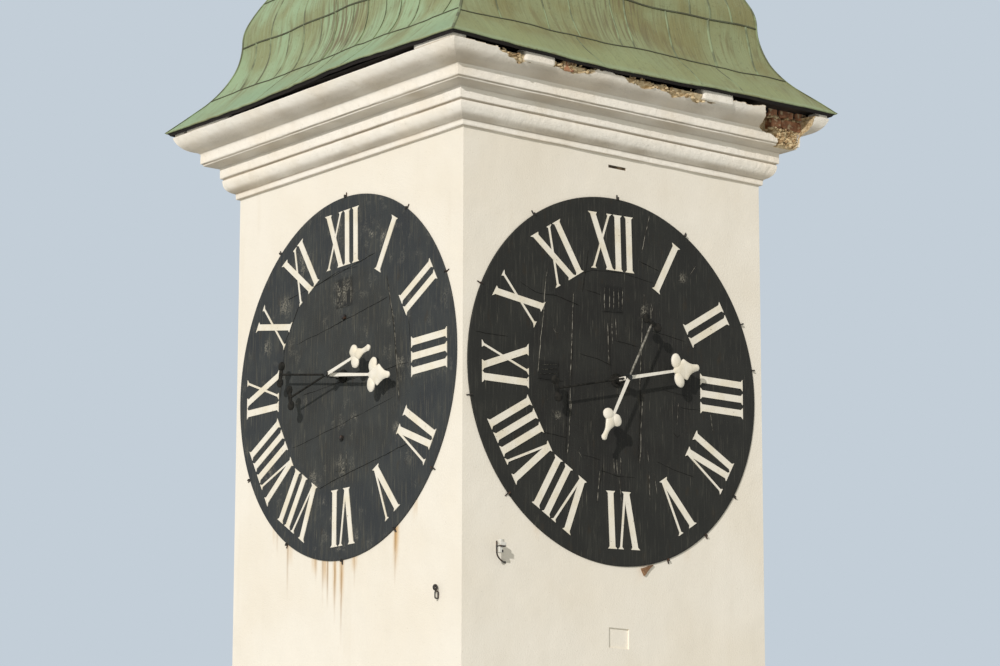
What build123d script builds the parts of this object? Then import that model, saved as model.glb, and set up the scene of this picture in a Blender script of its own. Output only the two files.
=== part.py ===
from build123d import *
import os
from math import cos, sin, tan, radians

# Clock tower of rendered brick: a square shaft, a moulded plaster cornice, a bell-shaped
# copper roof and a black dial with two hands on each of its four sides.
# Sizes in millimetres. The origin is on the ground at the centre of the plan, +Z is up,
# and the front dial looks along -Y.

# Shaft
shaft_width = 2500
wall_height = 7905
wall_thickness = 450
plinth_height = 450
plinth_projection = 60
floor_thickness = 120

# Doorway in the back wall, closed by a plain boarded door
door_width = 900
door_height = 2050
door_setback = 120
door_frame_face = 70
door_frame_depth = 110
door_leaf_thickness = 45
door_leaf_rebate = 20
door_leaf_gap = 3
strap_length = 520
strap_width = 44
strap_thickness = 6
strap_inset = 260
pull_height = 900
pull_radius = 55
pull_bar = 12
pull_plate = 70
threshold_projection = 40

# Cornice members, from the lowest to the highest: height of each, then how far it stands out
bed_fillet_height = 40
bed_fillet_out = 22
ovolo_height = 98
ovolo_out = 90
groove_height = 10
groove_depth = 6
fascia_height = 77
fascia_out = 102
cove_height = 33
drip_height = 22
drip_out = 186
corona_height = 57
corona_out = 200
crown_height = 118
crown_out = 341

# Where the front cornice has broken off beside its right corner, measured back from that
# corner: start, foot and end of the hole, its heights below the top, and the core left in it
break_start = 516
break_foot = 250
break_apex = 140
break_end = 90
break_crown_drop = 100
break_side_drop = 65
break_core_out = 130

# Where the front cornice's top edge has crumbled: along the wall, then the drop below the top
crumble_line = [(-1430, 0), (-1230, 24), (-1110, 46), (-990, 58), (-790, 48), (-500, 28),
                (-180, 32), (180, 40), (450, 62), (710, 46), (990, 20)]
crumble_core_out = 255

# Eaves: timber frame on the wall head and the plaster blocks that close parts of the gap
eave_gap = 30
eave_frame_inside = 150
eave_frame_outside = 190
eave_frame_height = 150
eave_block_depth = 120
eave_block_setback = 6

# Plaster blocks between cornice and copper, by side: the corner that each is measured from,
# how far from it the block starts, and its length
eave_block_places = {
    "front": [("left", 570, 240), ("right", 1120, 270), ("right", 90, 90)],
    "right": [("left", 160, 500), ("right", 430, 430)],
    "back": [("left", 570, 240), ("right", 1120, 270), ("right", 130, 130)],
    "left": [("left", 160, 500), ("right", 430, 430)],
}

# Bell roof, an outline of straight and round stretches leaning in by these angles
eave_out = 376
flare_radius = 630
flare_angle = 47
shoulder_radius = 350
shoulder_angle = 24
dome_radius = 1500
dome_angle = 62
ogee_radius = 600
ogee_angle = 6
copper_thickness = 3
board_thickness = 25
lay_gap = 0.3

# Finial
cap_overhang = 26
cap_height = 55
spigot_depth = 120
spigot_clearance = 2
vase_height = 330
vase_foot_radius = 190
vase_waist_radius = 62
vase_hollow_radius = 84
ball_radius = 125
spike_height = 620
spike_radius = 22
spike_tip_radius = 5

# Dials
dial_below_cornice = 253
dial_wall_margin = 53
dial_thickness = 10
numeral_height = 370
numeral_thickness = 4
thick_stroke = 45
thin_stroke = 15
serif_spread = 15
serif_height = 15
stroke_pitch = 94
v_width = 122
x_width = 140

# The numerals were set by hand: gap from the rim, and each one's own turn clockwise in degrees
numeral_rim_gap = {"front": 109, "right": 92, "back": 109, "left": 92}
front_numeral_turns = [-1.6, -1.6, -0.9, 0, -0.3, -2.9, -2.5, 0.3, -0.5, -0.6, -1.7, -1.8]
left_numeral_turns = [-1.3, -0.3, 0.3, -1.1, 2, 0.6, 0, 2, 0.7, 0, -0.5, -2.3]
numeral_turns = {"front": front_numeral_turns, "right": left_numeral_turns,
                 "back": front_numeral_turns, "left": left_numeral_turns}

# Where each dial's centre sits beside and above the nominal one
dial_shift = {"front": (-18, -33), "left": (0, 33), "back": (0, 0), "right": (0, 0)}

# Clock work that passes through the wall
bush_radius = 26
bush_wall = 8
bush_reach = 60
flange_radius = 44
flange_thickness = 10
pipe_wall = 6
running_gap = 0.05
inner_tail = 60

# Hands: the long one is driven by the pipe, the short one by the arbor inside it
long_hand_level = 105
short_hand_level = 138
hand_thickness = 6
hand_boss_radius = 25
nut_radius = 16
nut_height = 12
long_tip_gap = 78
long_head_length = 223
long_ear_out = 62
long_ear_half = 50
long_shoulder_half = 68
long_shoulder_rise = 66
long_tail_length = 600
short_hand_length = 478
short_head_length = 205
short_ear_out = 36
short_ear_half = 42
short_shoulder_half = 38
short_shoulder_rise = 42
short_tail_length = 445
shaft_width_at_boss = 24
shaft_width_at_tip = 17
ear_rise = 34
ear_narrow_half = 38
ear_lean = 12
spade_tip_radius = 21
spade_hollow = 12
tail_width = 12
tail_lobe_out = 54
tail_lobe_radius = 32
tail_bar_height = 36

# Readings of the hands at rest, in degrees clockwise from XII: long hand, short hand
hand_angles = {"front": (76.8, 207.2), "left": (98.5, 77), "back": (76.8, 207.2), "right": (98.5, 77)}

# Small things fixed in the visible walls, beside and below the dial's centre
bracket_place = (-925, -1195)
bracket_plate = (54, 96, 8)
bracket_arm_radius = 10
bracket_arm = 62
bracket_head = (66, 44, 74)
bracket_head_rise = 26
bracket_head_tilt = 24
hook_place = (985, -1490)
hook_radius = 9
hook_reach = 60
hook_rise = 58
panel_place = (23, -1655)
panel_size = (166, 128)
panel_depth = 12
vent_place = (28, 1411)
vent_size = (150, 20)
vent_depth = 25

half = shaft_width / 2
inner_half = half - wall_thickness
cornice_height = (bed_fillet_height + ovolo_height + groove_height + fascia_height
                  + cove_height + drip_height + corona_height + crown_height)
cornice_base = wall_height - cornice_height
dial_radius = half - dial_wall_margin
dial_height = cornice_base - dial_below_cornice - dial_radius
numeral_outer_radius = {side: dial_radius - gap for side, gap in numeral_rim_gap.items()}
long_hand_length = numeral_outer_radius["front"] - numeral_height - long_tip_gap
eave_level = wall_height + eave_gap
mitre_reach = 2 * half

sides = ["front", "right", "back", "left"]
parts = {}


def side_turn(side):
    """Rotation that carries the front side's piece to the named side."""
    return Rot(0, 0, 90 * sides.index(side))


def wall_plane(side):
    """Plane of a side's wall at its dial's centre: x to the viewer's right, y up, z outwards."""
    across, above = dial_shift[side]
    turn = radians(90 * sides.index(side))
    right = Vector(cos(turn), sin(turn), 0)
    outward = Vector(sin(turn), -cos(turn), 0)
    centre = outward * half + right * across + Vector(0, 0, dial_height + above)
    return Plane(origin=centre, x_dir=right, z_dir=outward)


def slab(x0, x1, y0, y1, z0, z1):
    """Plain block between two opposite corners."""
    middle = ((x0 + x1) / 2, (y0 + y1) / 2, (z0 + z1) / 2)
    return Pos(*middle) * Box(abs(x1 - x0), abs(y1 - y0), abs(z1 - z0))


# Mitred runs: a section drawn out from the tower's axis, run along one side and cut at 45 degrees

def mitre_wedge(low, high):
    """Quarter of the plan in front of the axis, between two heights."""
    plan = make_face(Polyline((0, 0), (-mitre_reach, -mitre_reach), (mitre_reach, -mitre_reach), close=True))
    return Pos(0, 0, low) * extrude(plan, high - low)


def mitred_run(section, low, high):
    """Front-side run of a section whose x is the distance from the axis and y the height."""
    standing = Plane(origin=(0, 0, 0), x_dir=(0, -1, 0), z_dir=(-1, 0, 0)) * section
    run = extrude(standing, mitre_reach, both=True)
    return run & mitre_wedge(low, high)


# Walls

def arbor_hole(side):
    """Hole for the clock arbor's bush."""
    return wall_plane(side) * Cylinder(
        bush_radius, wall_thickness, align=(Align.CENTER, Align.CENTER, Align.MAX))


def panel_pocket():
    """Shallow square panel sunk in the front wall's plaster."""
    x, y = panel_place
    return wall_plane("front") * Pos(x, y, 0) * Box(panel_size[0], panel_size[1], 2 * panel_depth)


def vent_slot():
    """Narrow vent slot above the front dial."""
    x, y = vent_place
    return wall_plane("front") * Pos(x, y, 0) * Box(vent_size[0], vent_size[1], 2 * vent_depth)


door_top = floor_thickness + door_height
front_wall = slab(-half, half, -half, -inner_half, 0, wall_height)
parts["front_wall"] = front_wall - arbor_hole("front") - panel_pocket() - vent_slot()
parts["left_wall"] = slab(-half, -inner_half, -inner_half, inner_half, 0, wall_height) - arbor_hole("left")
parts["right_wall"] = slab(inner_half, half, -inner_half, inner_half, 0, wall_height) - arbor_hole("right")
parts["back_wall"] = slab(-half, half, inner_half, half, door_top, wall_height) - arbor_hole("back")
parts["back_pier_left"] = slab(door_width / 2, half, inner_half, half, 0, door_top)
parts["back_pier_right"] = slab(-half, -door_width / 2, inner_half, half, 0, door_top)
parts["floor_slab"] = slab(-inner_half, inner_half, -inner_half, inner_half, 0, floor_thickness)
parts["threshold"] = slab(-door_width / 2, door_width / 2, inner_half,
                          half + plinth_projection + threshold_projection, 0, floor_thickness)

# Plinth, open at the doorway
plinth_out = half + plinth_projection
plinth = slab(-plinth_out, plinth_out, -plinth_out, plinth_out, 0, plinth_height)
plinth -= slab(-half, half, -half, half, 0, plinth_height)
plinth -= slab(-door_width / 2, door_width / 2, 0, plinth_out, 0, plinth_height)
parts["plinth"] = plinth

# Door: a frame on three sides of the opening and a boarded leaf shut against its rebate
frame_front = half - door_setback
frame_back = frame_front - door_frame_depth
frame = slab(-door_width / 2, door_width / 2, frame_back, frame_front, floor_thickness, door_top)
clear_half = door_width / 2 - door_frame_face
clear_top = door_top - door_frame_face
frame -= slab(-clear_half, clear_half, frame_back, frame_front, floor_thickness, clear_top)
rebate_back = frame_front - door_leaf_thickness
frame -= slab(-clear_half - door_leaf_rebate, clear_half + door_leaf_rebate,
              rebate_back, frame_front, floor_thickness, clear_top + door_leaf_rebate)
parts["door_frame"] = frame
leaf_half = clear_half + door_leaf_rebate - door_leaf_gap
leaf_top = clear_top + door_leaf_rebate - door_leaf_gap
parts["door_leaf"] = slab(-leaf_half, leaf_half, rebate_back, frame_front, floor_thickness, leaf_top)


def strap(level):
    """Strap hinge on the leaf's outer face, from its hinged edge to a round end."""
    round_end = leaf_half - strap_length + strap_width / 2
    flat = slab(round_end, leaf_half, frame_front, frame_front + strap_thickness,
                level - strap_width / 2, level + strap_width / 2)
    end = Pos(round_end, frame_front, level) * Rot(-90, 0, 0) * Cylinder(
        strap_width / 2, strap_thickness, align=(Align.CENTER, Align.CENTER, Align.MIN))
    return flat + end


def pull_ring():
    """Iron ring hanging from the boss of a square plate near the leaf's free edge."""
    x = -leaf_half + pull_radius + pull_plate / 2
    level = floor_thickness + pull_height
    plate = slab(x - pull_plate / 2, x + pull_plate / 2, frame_front, frame_front + strap_thickness,
                 level - pull_plate / 2, level + pull_plate / 2)
    plate_face = frame_front + strap_thickness
    boss = Pos(x, plate_face, level) * Rot(-90, 0, 0) * Cylinder(
        pull_bar, 1.5 * pull_bar, align=(Align.CENTER, Align.CENTER, Align.MIN))
    ring = Rot(90, 0, 0) * Torus(pull_radius, pull_bar / 2)
    return plate + boss + Pos(x, plate_face + pull_bar, level - pull_radius) * ring


parts["door_ironwork"] = Compound([
    strap(floor_thickness + strap_inset), strap(leaf_top - strap_inset), pull_ring()])


# Cornice

def cornice_section():
    """Outline of the moulding: x from the tower's axis, y from the ground."""
    z1 = cornice_base + bed_fillet_height
    z2 = z1 + ovolo_height
    z3 = z2 + groove_height
    z4 = z3 + fascia_height
    z5 = z4 + cove_height
    z6 = z5 + drip_height
    z7 = z6 + corona_height
    ovolo_rise = radians(40)
    ovolo_mid = (half + bed_fillet_out + (ovolo_out - bed_fillet_out) * sin(2 * ovolo_rise) ** 2 * 0.74,
                 z1 + ovolo_height * (1 - cos(ovolo_rise)) * 1.35)
    cove_mid = (half + fascia_out + (drip_out - fascia_out) * 0.32, z4 + cove_height * 0.72)
    crown_mid = (half + corona_out + (crown_out - corona_out) * 0.74, z7 + crown_height * 0.41)
    lines = [
        Line((half, cornice_base), (half + bed_fillet_out, cornice_base)),
        Line((half + bed_fillet_out, cornice_base), (half + bed_fillet_out, z1)),
        ThreePointArc((half + bed_fillet_out, z1), ovolo_mid, (half + ovolo_out, z2)),
        Polyline((half + ovolo_out, z2), (half + ovolo_out - groove_depth, z2),
                 (half + ovolo_out - groove_depth, z3), (half + fascia_out, z3), (half + fascia_out, z4)),
        ThreePointArc((half + fascia_out, z4), cove_mid, (half + drip_out, z5)),
        Polyline((half + drip_out, z5), (half + drip_out, z6),
                 (half + corona_out, z6), (half + corona_out, z7)),
        ThreePointArc((half + corona_out, z7), crown_mid, (half + crown_out, wall_height)),
        Polyline((half + crown_out, wall_height), (half, wall_height), (half, cornice_base)),
    ]
    return make_face(lines)


cornice_run = mitred_run(cornice_section(), cornice_base, wall_height)
for side in sides:
    parts[f"{side}_cornice"] = side_turn(side) * cornice_run


def corner_break():
    """Prism of the lost crown and corona beside the front cornice's right corner."""
    corner = half + crown_out
    corona_foot = wall_height - crown_height - corona_height - drip_height
    hole = make_face(Polyline(
        (corner - break_start, wall_height), (corner - break_start, wall_height - break_crown_drop),
        (corner - break_foot, wall_height - crown_height), (corner - break_apex - drip_height, corona_foot),
        (corner - break_apex, corona_foot), (corner - break_apex, wall_height - break_side_drop),
        (corner - break_end, wall_height), close=True))
    core = Plane(origin=(0, -half - break_core_out, 0), x_dir=(1, 0, 0), z_dir=(0, -1, 0))
    return core * extrude(hole, crown_out)


def crumbled_edge():
    """Strip of lost plaster along the top of the front crown, over its core."""
    corner = half + crown_out
    points = [(along, wall_height - drop) for along, drop in crumble_line]
    lost = make_face(Polyline(*points, (corner - break_start, wall_height), close=True))
    core = Plane(origin=(0, -half - crumble_core_out, 0), x_dir=(1, 0, 0), z_dir=(0, -1, 0))
    return core * extrude(lost, crown_out)


parts["front_cornice"] -= corner_break()
parts["front_cornice"] -= crumbled_edge()


# Roof outline

shoulder_level = eave_level + flare_radius * sin(radians(flare_angle)) + (
    eave_out - flare_radius * (1 - cos(radians(flare_angle)))) / tan(radians(flare_angle))


def bend(point, lean_from, lean_to, radius):
    """Middle and end of an arc that rises from a point while its lean to the axis changes."""
    found = []
    for lean in ((lean_from + lean_to) / 2, lean_to):
        inward = radius * abs(cos(radians(lean)) - cos(radians(lean_from)))
        rise = radius * abs(sin(radians(lean)) - sin(radians(lean_from)))
        found.append((point[0] - inward, point[1] + rise))
    return found


def roof_outline(depth):
    """Edges of the bell from eave to neck, at a depth below the copper's face, and its two ends."""
    shoulder = (half - depth, shoulder_level)
    lean = radians(flare_angle)
    reach = flare_radius + depth
    foot = (shoulder[0] + reach * (1 - cos(lean)), shoulder_level - reach * sin(lean))
    foot_mid = (shoulder[0] + reach * (1 - cos(lean / 2)), shoulder_level - reach * sin(lean / 2))
    eave = (foot[0] + (foot[1] - eave_level) * tan(lean), eave_level)
    edges = [Line(eave, foot), ThreePointArc(foot, foot_mid, shoulder)]
    point = shoulder
    steps = [(0, shoulder_angle, shoulder_radius - depth),
             (shoulder_angle, dome_angle, dome_radius - depth),
             (dome_angle, ogee_angle, ogee_radius + depth)]
    for lean_from, lean_to, radius in steps:
        middle, end = bend(point, lean_from, lean_to, radius)
        edges.append(ThreePointArc(point, middle, end))
        point = end
    return edges, eave, point


def roof_layer(outer_depth, inner_depth):
    """Front face of one roof layer, mitred at the hips."""
    outer, outer_eave, outer_neck = roof_outline(outer_depth)
    inner, inner_eave, inner_neck = roof_outline(inner_depth)
    section = make_face(outer + inner + [Line(outer_eave, inner_eave), Line(outer_neck, inner_neck)])
    return mitred_run(section, eave_level, outer_neck[1])


copper = roof_layer(0, copper_thickness)
for side in sides:
    parts[f"{side}_roof"] = side_turn(side) * copper
board_outside = copper_thickness + lay_gap
board_inside = board_outside + board_thickness
boards = roof_layer(board_outside, board_inside)
boarding = boards
for side in sides[1:]:
    boarding += side_turn(side) * boards
parts["roof_boarding"] = boarding


# Timber frame on the wall head, its outer face bevelled to carry the roof boards

def eave_frame_section():
    lean = tan(radians(flare_angle))
    board_foot = roof_outline(board_inside)[1][0] - lay_gap
    frame_top = eave_level + eave_frame_height
    return make_face(Polyline(
        (half - eave_frame_inside, wall_height), (half + eave_frame_outside, wall_height),
        (half + eave_frame_outside, eave_level), (board_foot, eave_level),
        (board_foot - eave_frame_height * lean, frame_top), (half - eave_frame_inside, frame_top),
        close=True))


frame_run = mitred_run(eave_frame_section(), wall_height, eave_level + eave_frame_height)
eave_frame = frame_run
for side in sides[1:]:
    eave_frame += side_turn(side) * frame_run
parts["eave_frame"] = eave_frame

# Plaster blocks that close parts of the gap
corner_end = half + crown_out - eave_block_setback
blocks = []
for side in sides:
    for corner, distance, length in eave_block_places[side]:
        start = distance - corner_end if corner == "left" else corner_end - distance
        block = slab(start, start + length, -corner_end, -corner_end + eave_block_depth,
                     wall_height, eave_level)
        blocks.append(side_turn(side) * block)
parts["eave_blocks"] = Compound(blocks)

# Finial: a square cap on the neck, a turned vase, a ball and a spike
neck_half, neck_level = roof_outline(0)[2]
cap_half = neck_half + cap_overhang
spigot_half = roof_outline(board_inside)[2][0] - spigot_clearance
cap_top = neck_level + cap_height
vase_section = make_face([
    Polyline((0, cap_top + vase_height), (0, cap_top), (vase_foot_radius, cap_top),
             (vase_foot_radius, cap_top + cap_height / 2)),
    ThreePointArc((vase_foot_radius, cap_top + cap_height / 2),
                  (vase_hollow_radius, cap_top + vase_height * 0.42),
                  (vase_waist_radius, cap_top + vase_height)),
    Line((vase_waist_radius, cap_top + vase_height), (0, cap_top + vase_height)),
])
finial_base = slab(-cap_half, cap_half, -cap_half, cap_half, neck_level, cap_top)
finial_base += slab(-spigot_half, spigot_half, -spigot_half, spigot_half,
                    neck_level - spigot_depth, neck_level)
finial_base += revolve(Plane.XZ * vase_section, Axis.Z)
parts["finial_base"] = finial_base

ball_seat = cap_top + vase_height
ball_level = ball_seat + (ball_radius ** 2 - vase_waist_radius ** 2) ** 0.5
ball = Pos(0, 0, ball_level) * Sphere(ball_radius)
ball -= slab(-ball_radius, ball_radius, -ball_radius, ball_radius, ball_level - 2 * ball_radius, ball_seat)
spike_foot = ball_level + (ball_radius ** 2 - spike_radius ** 2) ** 0.5
ball -= slab(-ball_radius, ball_radius, -ball_radius, ball_radius, spike_foot, spike_foot + ball_radius)
parts["finial_ball"] = ball
parts["finial_spike"] = Pos(0, 0, spike_foot) * Cone(
    spike_radius, spike_tip_radius, spike_height, align=(Align.CENTER, Align.CENTER, Align.MIN))


# Dials and numerals

def disc(radius, height, low=0.0):
    """Round plate standing on the given level."""
    return Pos(0, 0, low) * Cylinder(radius, height, align=(Align.CENTER, Align.CENTER, Align.MIN))


def stroke(top, bottom, width):
    """Straight stroke of a letter with a short flared serif at each end, standing on its feet."""
    high = numeral_height
    low = 0
    w = width / 2
    s = w + serif_spread
    body = Polyline((top - w, high), (top + w, high), (bottom + w, low), (bottom - w, low), close=True)
    face = make_face(body)
    slope = (top - bottom) / (high - low) * serif_height
    head = Polyline((top - s, high), (top + s, high), (top - slope + w, high - serif_height),
                    (top - slope - w, high - serif_height), close=True)
    foot = Polyline((bottom - s, low), (bottom + s, low), (bottom + slope + w, low + serif_height),
                    (bottom + slope - w, low + serif_height), close=True)
    return face + make_face(head) + make_face(foot)


def letter(kind, middle):
    """One letter of a numeral, upright about its own middle line."""
    if kind == "I":
        return stroke(middle, middle, thick_stroke)
    if kind == "V":
        span = v_width / 2
        return (stroke(middle - span, middle, thick_stroke)
                + stroke(middle + span, middle + thick_stroke / 4, thin_stroke))
    span = x_width / 2
    return (stroke(middle - span, middle + span, thick_stroke)
            + stroke(middle + span, middle - span, thin_stroke))


def letter_width(kind):
    return {"I": stroke_pitch, "V": v_width + thick_stroke, "X": x_width + thick_stroke}[kind]


def numeral(text):
    """A whole numeral that stands on the level line, centred on the upright one."""
    widths = [letter_width(kind) for kind in text]
    start = -sum(widths) / 2
    faces = []
    for kind, width in zip(text, widths):
        faces.append(letter(kind, start + width / 2))
        start += width
    return faces


numeral_texts = ["XII", "I", "II", "III", "IV", "V", "VI", "VII", "VIII", "IX", "X", "XI"]


def numeral_ring(side):
    """All twelve numerals as raised plates on a side's dial, their feet towards its centre."""
    feet = numeral_outer_radius[side] - numeral_height
    plates = []
    for hour, text in enumerate(numeral_texts):
        turn = Rot(0, 0, -30 * hour - numeral_turns[side][hour])
        for face in numeral(text):
            plate = extrude(face, numeral_thickness)
            plates.extend((turn * Pos(0, feet, dial_thickness) * plate).solids())
    return plates


bush_bore = bush_radius - bush_wall
pipe_radius = bush_bore - running_gap
pipe_bore = pipe_radius - pipe_wall
arbor_radius = pipe_bore - running_gap
dial_plate = disc(dial_radius, dial_thickness) - disc(bush_radius, dial_thickness)
bush = disc(bush_radius, wall_thickness + bush_reach, -wall_thickness)
bush += disc(flange_radius, flange_thickness, dial_thickness)
bush -= disc(bush_bore, wall_thickness + bush_reach, -wall_thickness)


# Hands, drawn pointing to XII about the origin

def spade(foot, shoulder_half, shoulder, tip):
    """Head of a pointer: round shoulders, hollow sides and a round tip."""
    middle = (shoulder + tip) / 2
    hollow_half = (shoulder_half + spade_tip_radius) / 2 - spade_hollow
    foot_half = shaft_width_at_boss / 2
    return make_face([
        Line((-foot_half, foot), (foot_half, foot)),
        Line((foot_half, foot), (shoulder_half, shoulder)),
        ThreePointArc((shoulder_half, shoulder), (hollow_half, middle), (spade_tip_radius, tip)),
        ThreePointArc((spade_tip_radius, tip), (0, tip + spade_tip_radius), (-spade_tip_radius, tip)),
        ThreePointArc((-spade_tip_radius, tip), (-hollow_half, middle), (-shoulder_half, shoulder)),
        Line((-shoulder_half, shoulder), (-foot_half, foot)),
    ])


def hand_blade(length, head, ear_out, ear_half, shoulder_half, shoulder_rise):
    """White pointer: a tapering shaft, two leaning ears and a spade."""
    neck = length - head
    ear_level = neck + ear_rise
    w0 = shaft_width_at_boss / 2
    w1 = shaft_width_at_tip / 2
    face = make_face(Polyline((-w0, 0), (w0, 0), (w1, ear_level), (-w1, ear_level), close=True))
    face += spade(neck, shoulder_half, ear_level + shoulder_rise, length - spade_tip_radius)
    for sign in (-1, 1):
        ear = Ellipse(ear_half, ear_narrow_half)
        face += Pos(sign * ear_out, ear_level) * Rot(0, 0, sign * ear_lean) * ear
    return face


def hand_tail(length):
    """Dark tail: a thin rod and a cross bar that ends in two round lobes."""
    bar_middle = tail_bar_height / 2 - length
    w = tail_width / 2
    face = make_face(Polyline((-w, 0), (w, 0), (w, bar_middle), (-w, bar_middle), close=True))
    face += Pos(0, bar_middle) * Rectangle(2 * tail_lobe_out, tail_bar_height)
    for sign in (-1, 1):
        face += Pos(sign * tail_lobe_out, bar_middle) * Circle(tail_lobe_radius)
    return face


def long_hand():
    """Hour hand with the pipe that turns it."""
    face = hand_blade(long_hand_length, long_head_length, long_ear_out, long_ear_half,
                      long_shoulder_half, long_shoulder_rise) + hand_tail(long_tail_length)
    hand = Pos(0, 0, long_hand_level) * extrude(face + Circle(hand_boss_radius), hand_thickness)
    pipe_end = -wall_thickness - inner_tail
    hand += disc(pipe_radius, long_hand_level - pipe_end, pipe_end)
    return hand - disc(pipe_bore, short_hand_level - pipe_end, pipe_end)


def short_hand():
    """Minute hand with the arbor that turns it and the nut that holds it."""
    face = hand_blade(short_hand_length, short_head_length, short_ear_out, short_ear_half,
                      short_shoulder_half, short_shoulder_rise) + hand_tail(short_tail_length)
    hand = Pos(0, 0, short_hand_level) * extrude(face + Circle(hand_boss_radius), hand_thickness)
    arbor_end = -wall_thickness - 2 * inner_tail
    hand += disc(arbor_radius, short_hand_level - arbor_end, arbor_end)
    return hand + disc(nut_radius, nut_height, short_hand_level + hand_thickness)


long_piece = long_hand()
short_piece = short_hand()
for side in sides:
    seat = wall_plane(side).location
    long_angle, short_angle = hand_angles[side]
    parts[f"{side}_dial"] = seat * dial_plate
    parts[f"{side}_numerals"] = Compound([seat * plate for plate in numeral_ring(side)])
    parts[f"{side}_bush"] = seat * bush
    parts[f"{side}_hour_hand"] = seat * Rot(0, 0, -long_angle) * long_piece
    parts[f"{side}_minute_hand"] = seat * Rot(0, 0, -short_angle) * short_piece


# Fixtures on the two visible walls

def wall_bracket():
    """Small lamp on the front wall: a plate, an arm and a head tilted down."""
    plate_width, plate_height, plate_thickness = bracket_plate
    width, height, depth = bracket_head
    plate = Pos(0, 0, plate_thickness / 2) * Box(plate_width, plate_height, plate_thickness)
    arm = disc(bracket_arm_radius, bracket_arm, plate_thickness / 2)
    head = Pos(0, bracket_head_rise, bracket_arm) * Rot(bracket_head_tilt, 0, 0) * Box(width, height, depth)
    return plate + arm + head


def wall_hook():
    """Round iron hook in the left wall."""
    shank = disc(hook_radius, hook_reach)
    rise = Pos(0, 0, hook_reach) * Rot(-90, 0, 0) * Cylinder(
        hook_radius, hook_rise, align=(Align.CENTER, Align.CENTER, Align.MIN))
    return shank + rise


parts["wall_bracket"] = wall_plane("front") * Pos(*bracket_place, 0) * wall_bracket()
parts["wall_hook"] = wall_plane("left") * Pos(*hook_place, 0) * wall_hook()

os.makedirs("parts", exist_ok=True)
for name, shape in parts.items():
    export_step(shape, f"parts/{name}.step")
print(len(parts), "parts, finial tip at", round(spike_foot + spike_height))
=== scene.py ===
# %% [markdown]
# # Clock tower
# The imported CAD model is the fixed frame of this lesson. Every piece that is made here is set
# against its nodes, in metres, with the tower's foot at the origin and the front dial facing -Y.

# %% Frame
import math

import bpy
import numpy as np
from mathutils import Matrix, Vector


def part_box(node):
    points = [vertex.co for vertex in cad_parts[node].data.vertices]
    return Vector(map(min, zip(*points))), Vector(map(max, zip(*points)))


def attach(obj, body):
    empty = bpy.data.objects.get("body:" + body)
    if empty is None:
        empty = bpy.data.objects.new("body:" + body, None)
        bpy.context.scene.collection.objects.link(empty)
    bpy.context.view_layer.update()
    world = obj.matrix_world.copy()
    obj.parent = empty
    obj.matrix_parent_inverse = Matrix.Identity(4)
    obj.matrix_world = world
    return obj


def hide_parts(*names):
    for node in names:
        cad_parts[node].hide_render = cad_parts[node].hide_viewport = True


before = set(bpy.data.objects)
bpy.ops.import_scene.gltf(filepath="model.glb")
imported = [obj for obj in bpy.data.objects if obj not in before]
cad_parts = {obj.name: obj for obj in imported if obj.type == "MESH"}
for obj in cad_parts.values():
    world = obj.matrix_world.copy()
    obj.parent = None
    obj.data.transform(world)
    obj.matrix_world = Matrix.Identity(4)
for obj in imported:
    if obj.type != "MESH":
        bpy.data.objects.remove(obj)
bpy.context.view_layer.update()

# %% [markdown]
# The tower has four like sides, so a shape is worked out once for the front and turned about the
# middle by quarter turns. The frame gives the sizes that the pieces share: half the shaft's width,
# the top of the brickwork, the level of the copper's edge and the middle of each dial.

# %% Sizes read from the frame
SIDES = ("front", "right", "back", "left")
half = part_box("front_wall")[1].x
wall_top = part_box("front_wall")[1].z
cornice_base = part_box("right_cornice")[0].z
crown_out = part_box("right_cornice")[1].x - half
eave_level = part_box("front_roof")[0].z
dial_radius = (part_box("front_dial")[1].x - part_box("front_dial")[0].x) / 2
DIAL_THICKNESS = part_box("front_dial")[1].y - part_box("front_dial")[0].y
dial_place = {}
for side in SIDES:
    low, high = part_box(f"{side}_dial")
    middle = (low + high) / 2
    across = {"front": middle.x, "right": middle.y, "back": -middle.x, "left": -middle.y}[side]
    dial_place[side] = (across, middle.z)
print("half", round(half, 3), "wall top", round(wall_top, 3), "dials", dial_place)

# %% [markdown]
# Every surface is a numpy array of points. These helpers turn a front-side array to another side,
# join neighbouring points into quads, and put the result into a mesh. A closed solid whose faces
# point inwards shows by its negative volume, and is then turned round.

# %% Points on each side
def turned(points, side):
    """Front-side points turned about the tower's axis by the side's quarter turns."""
    quarter = SIDES.index(side)
    c, s = (1, 0, -1, 0)[quarter], (0, 1, 0, -1)[quarter]
    x, y, z = np.moveaxis(np.asarray(points, float), -1, 0)
    return np.stack([c * x - s * y, s * x + c * y, z], -1)


def all_sides(*endings):
    """Names that end in each of these words, for all four sides."""
    return [f"{side}_{ending}" for ending in endings for side in SIDES]


def on_wall(side, across, height, out):
    """Points in front of a side's wall: across to the viewer's right, height, distance from it."""
    across, height, out = np.broadcast_arrays(*(np.asarray(v, float) for v in (across, height, out)))
    return turned(np.stack([across, -half - out, height], -1), side)


def circle(count):
    """Angles of points spread evenly round a circle."""
    return np.arange(count) / count * math.tau


# %% Faces of a grid, and the volume they close
def quads(rows, columns, wrap=False):
    """Corner numbers of the quads of a grid of points; wrap joins the last column to the first."""
    r, c = np.meshgrid(np.arange(rows - 1), np.arange(columns if wrap else columns - 1), indexing="ij")
    a, b = r * columns + c, r * columns + (c + 1) % columns
    return np.stack([a, b, b + columns, a + columns], -1).reshape(-1, 4)


def volume(points, faces):
    """Signed volume: the sum over a fan of triangles of a . (b x c) / 6, positive if they face out."""
    total = 0.0
    for face in faces:
        face = np.atleast_2d(face)
        for k in range(1, face.shape[1] - 1):
            a, b, c = points[face[:, 0]], points[face[:, k]], points[face[:, k + 1]]
            total += np.einsum("ij,ij->", a, np.cross(b, c)) / 6
    return total


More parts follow.
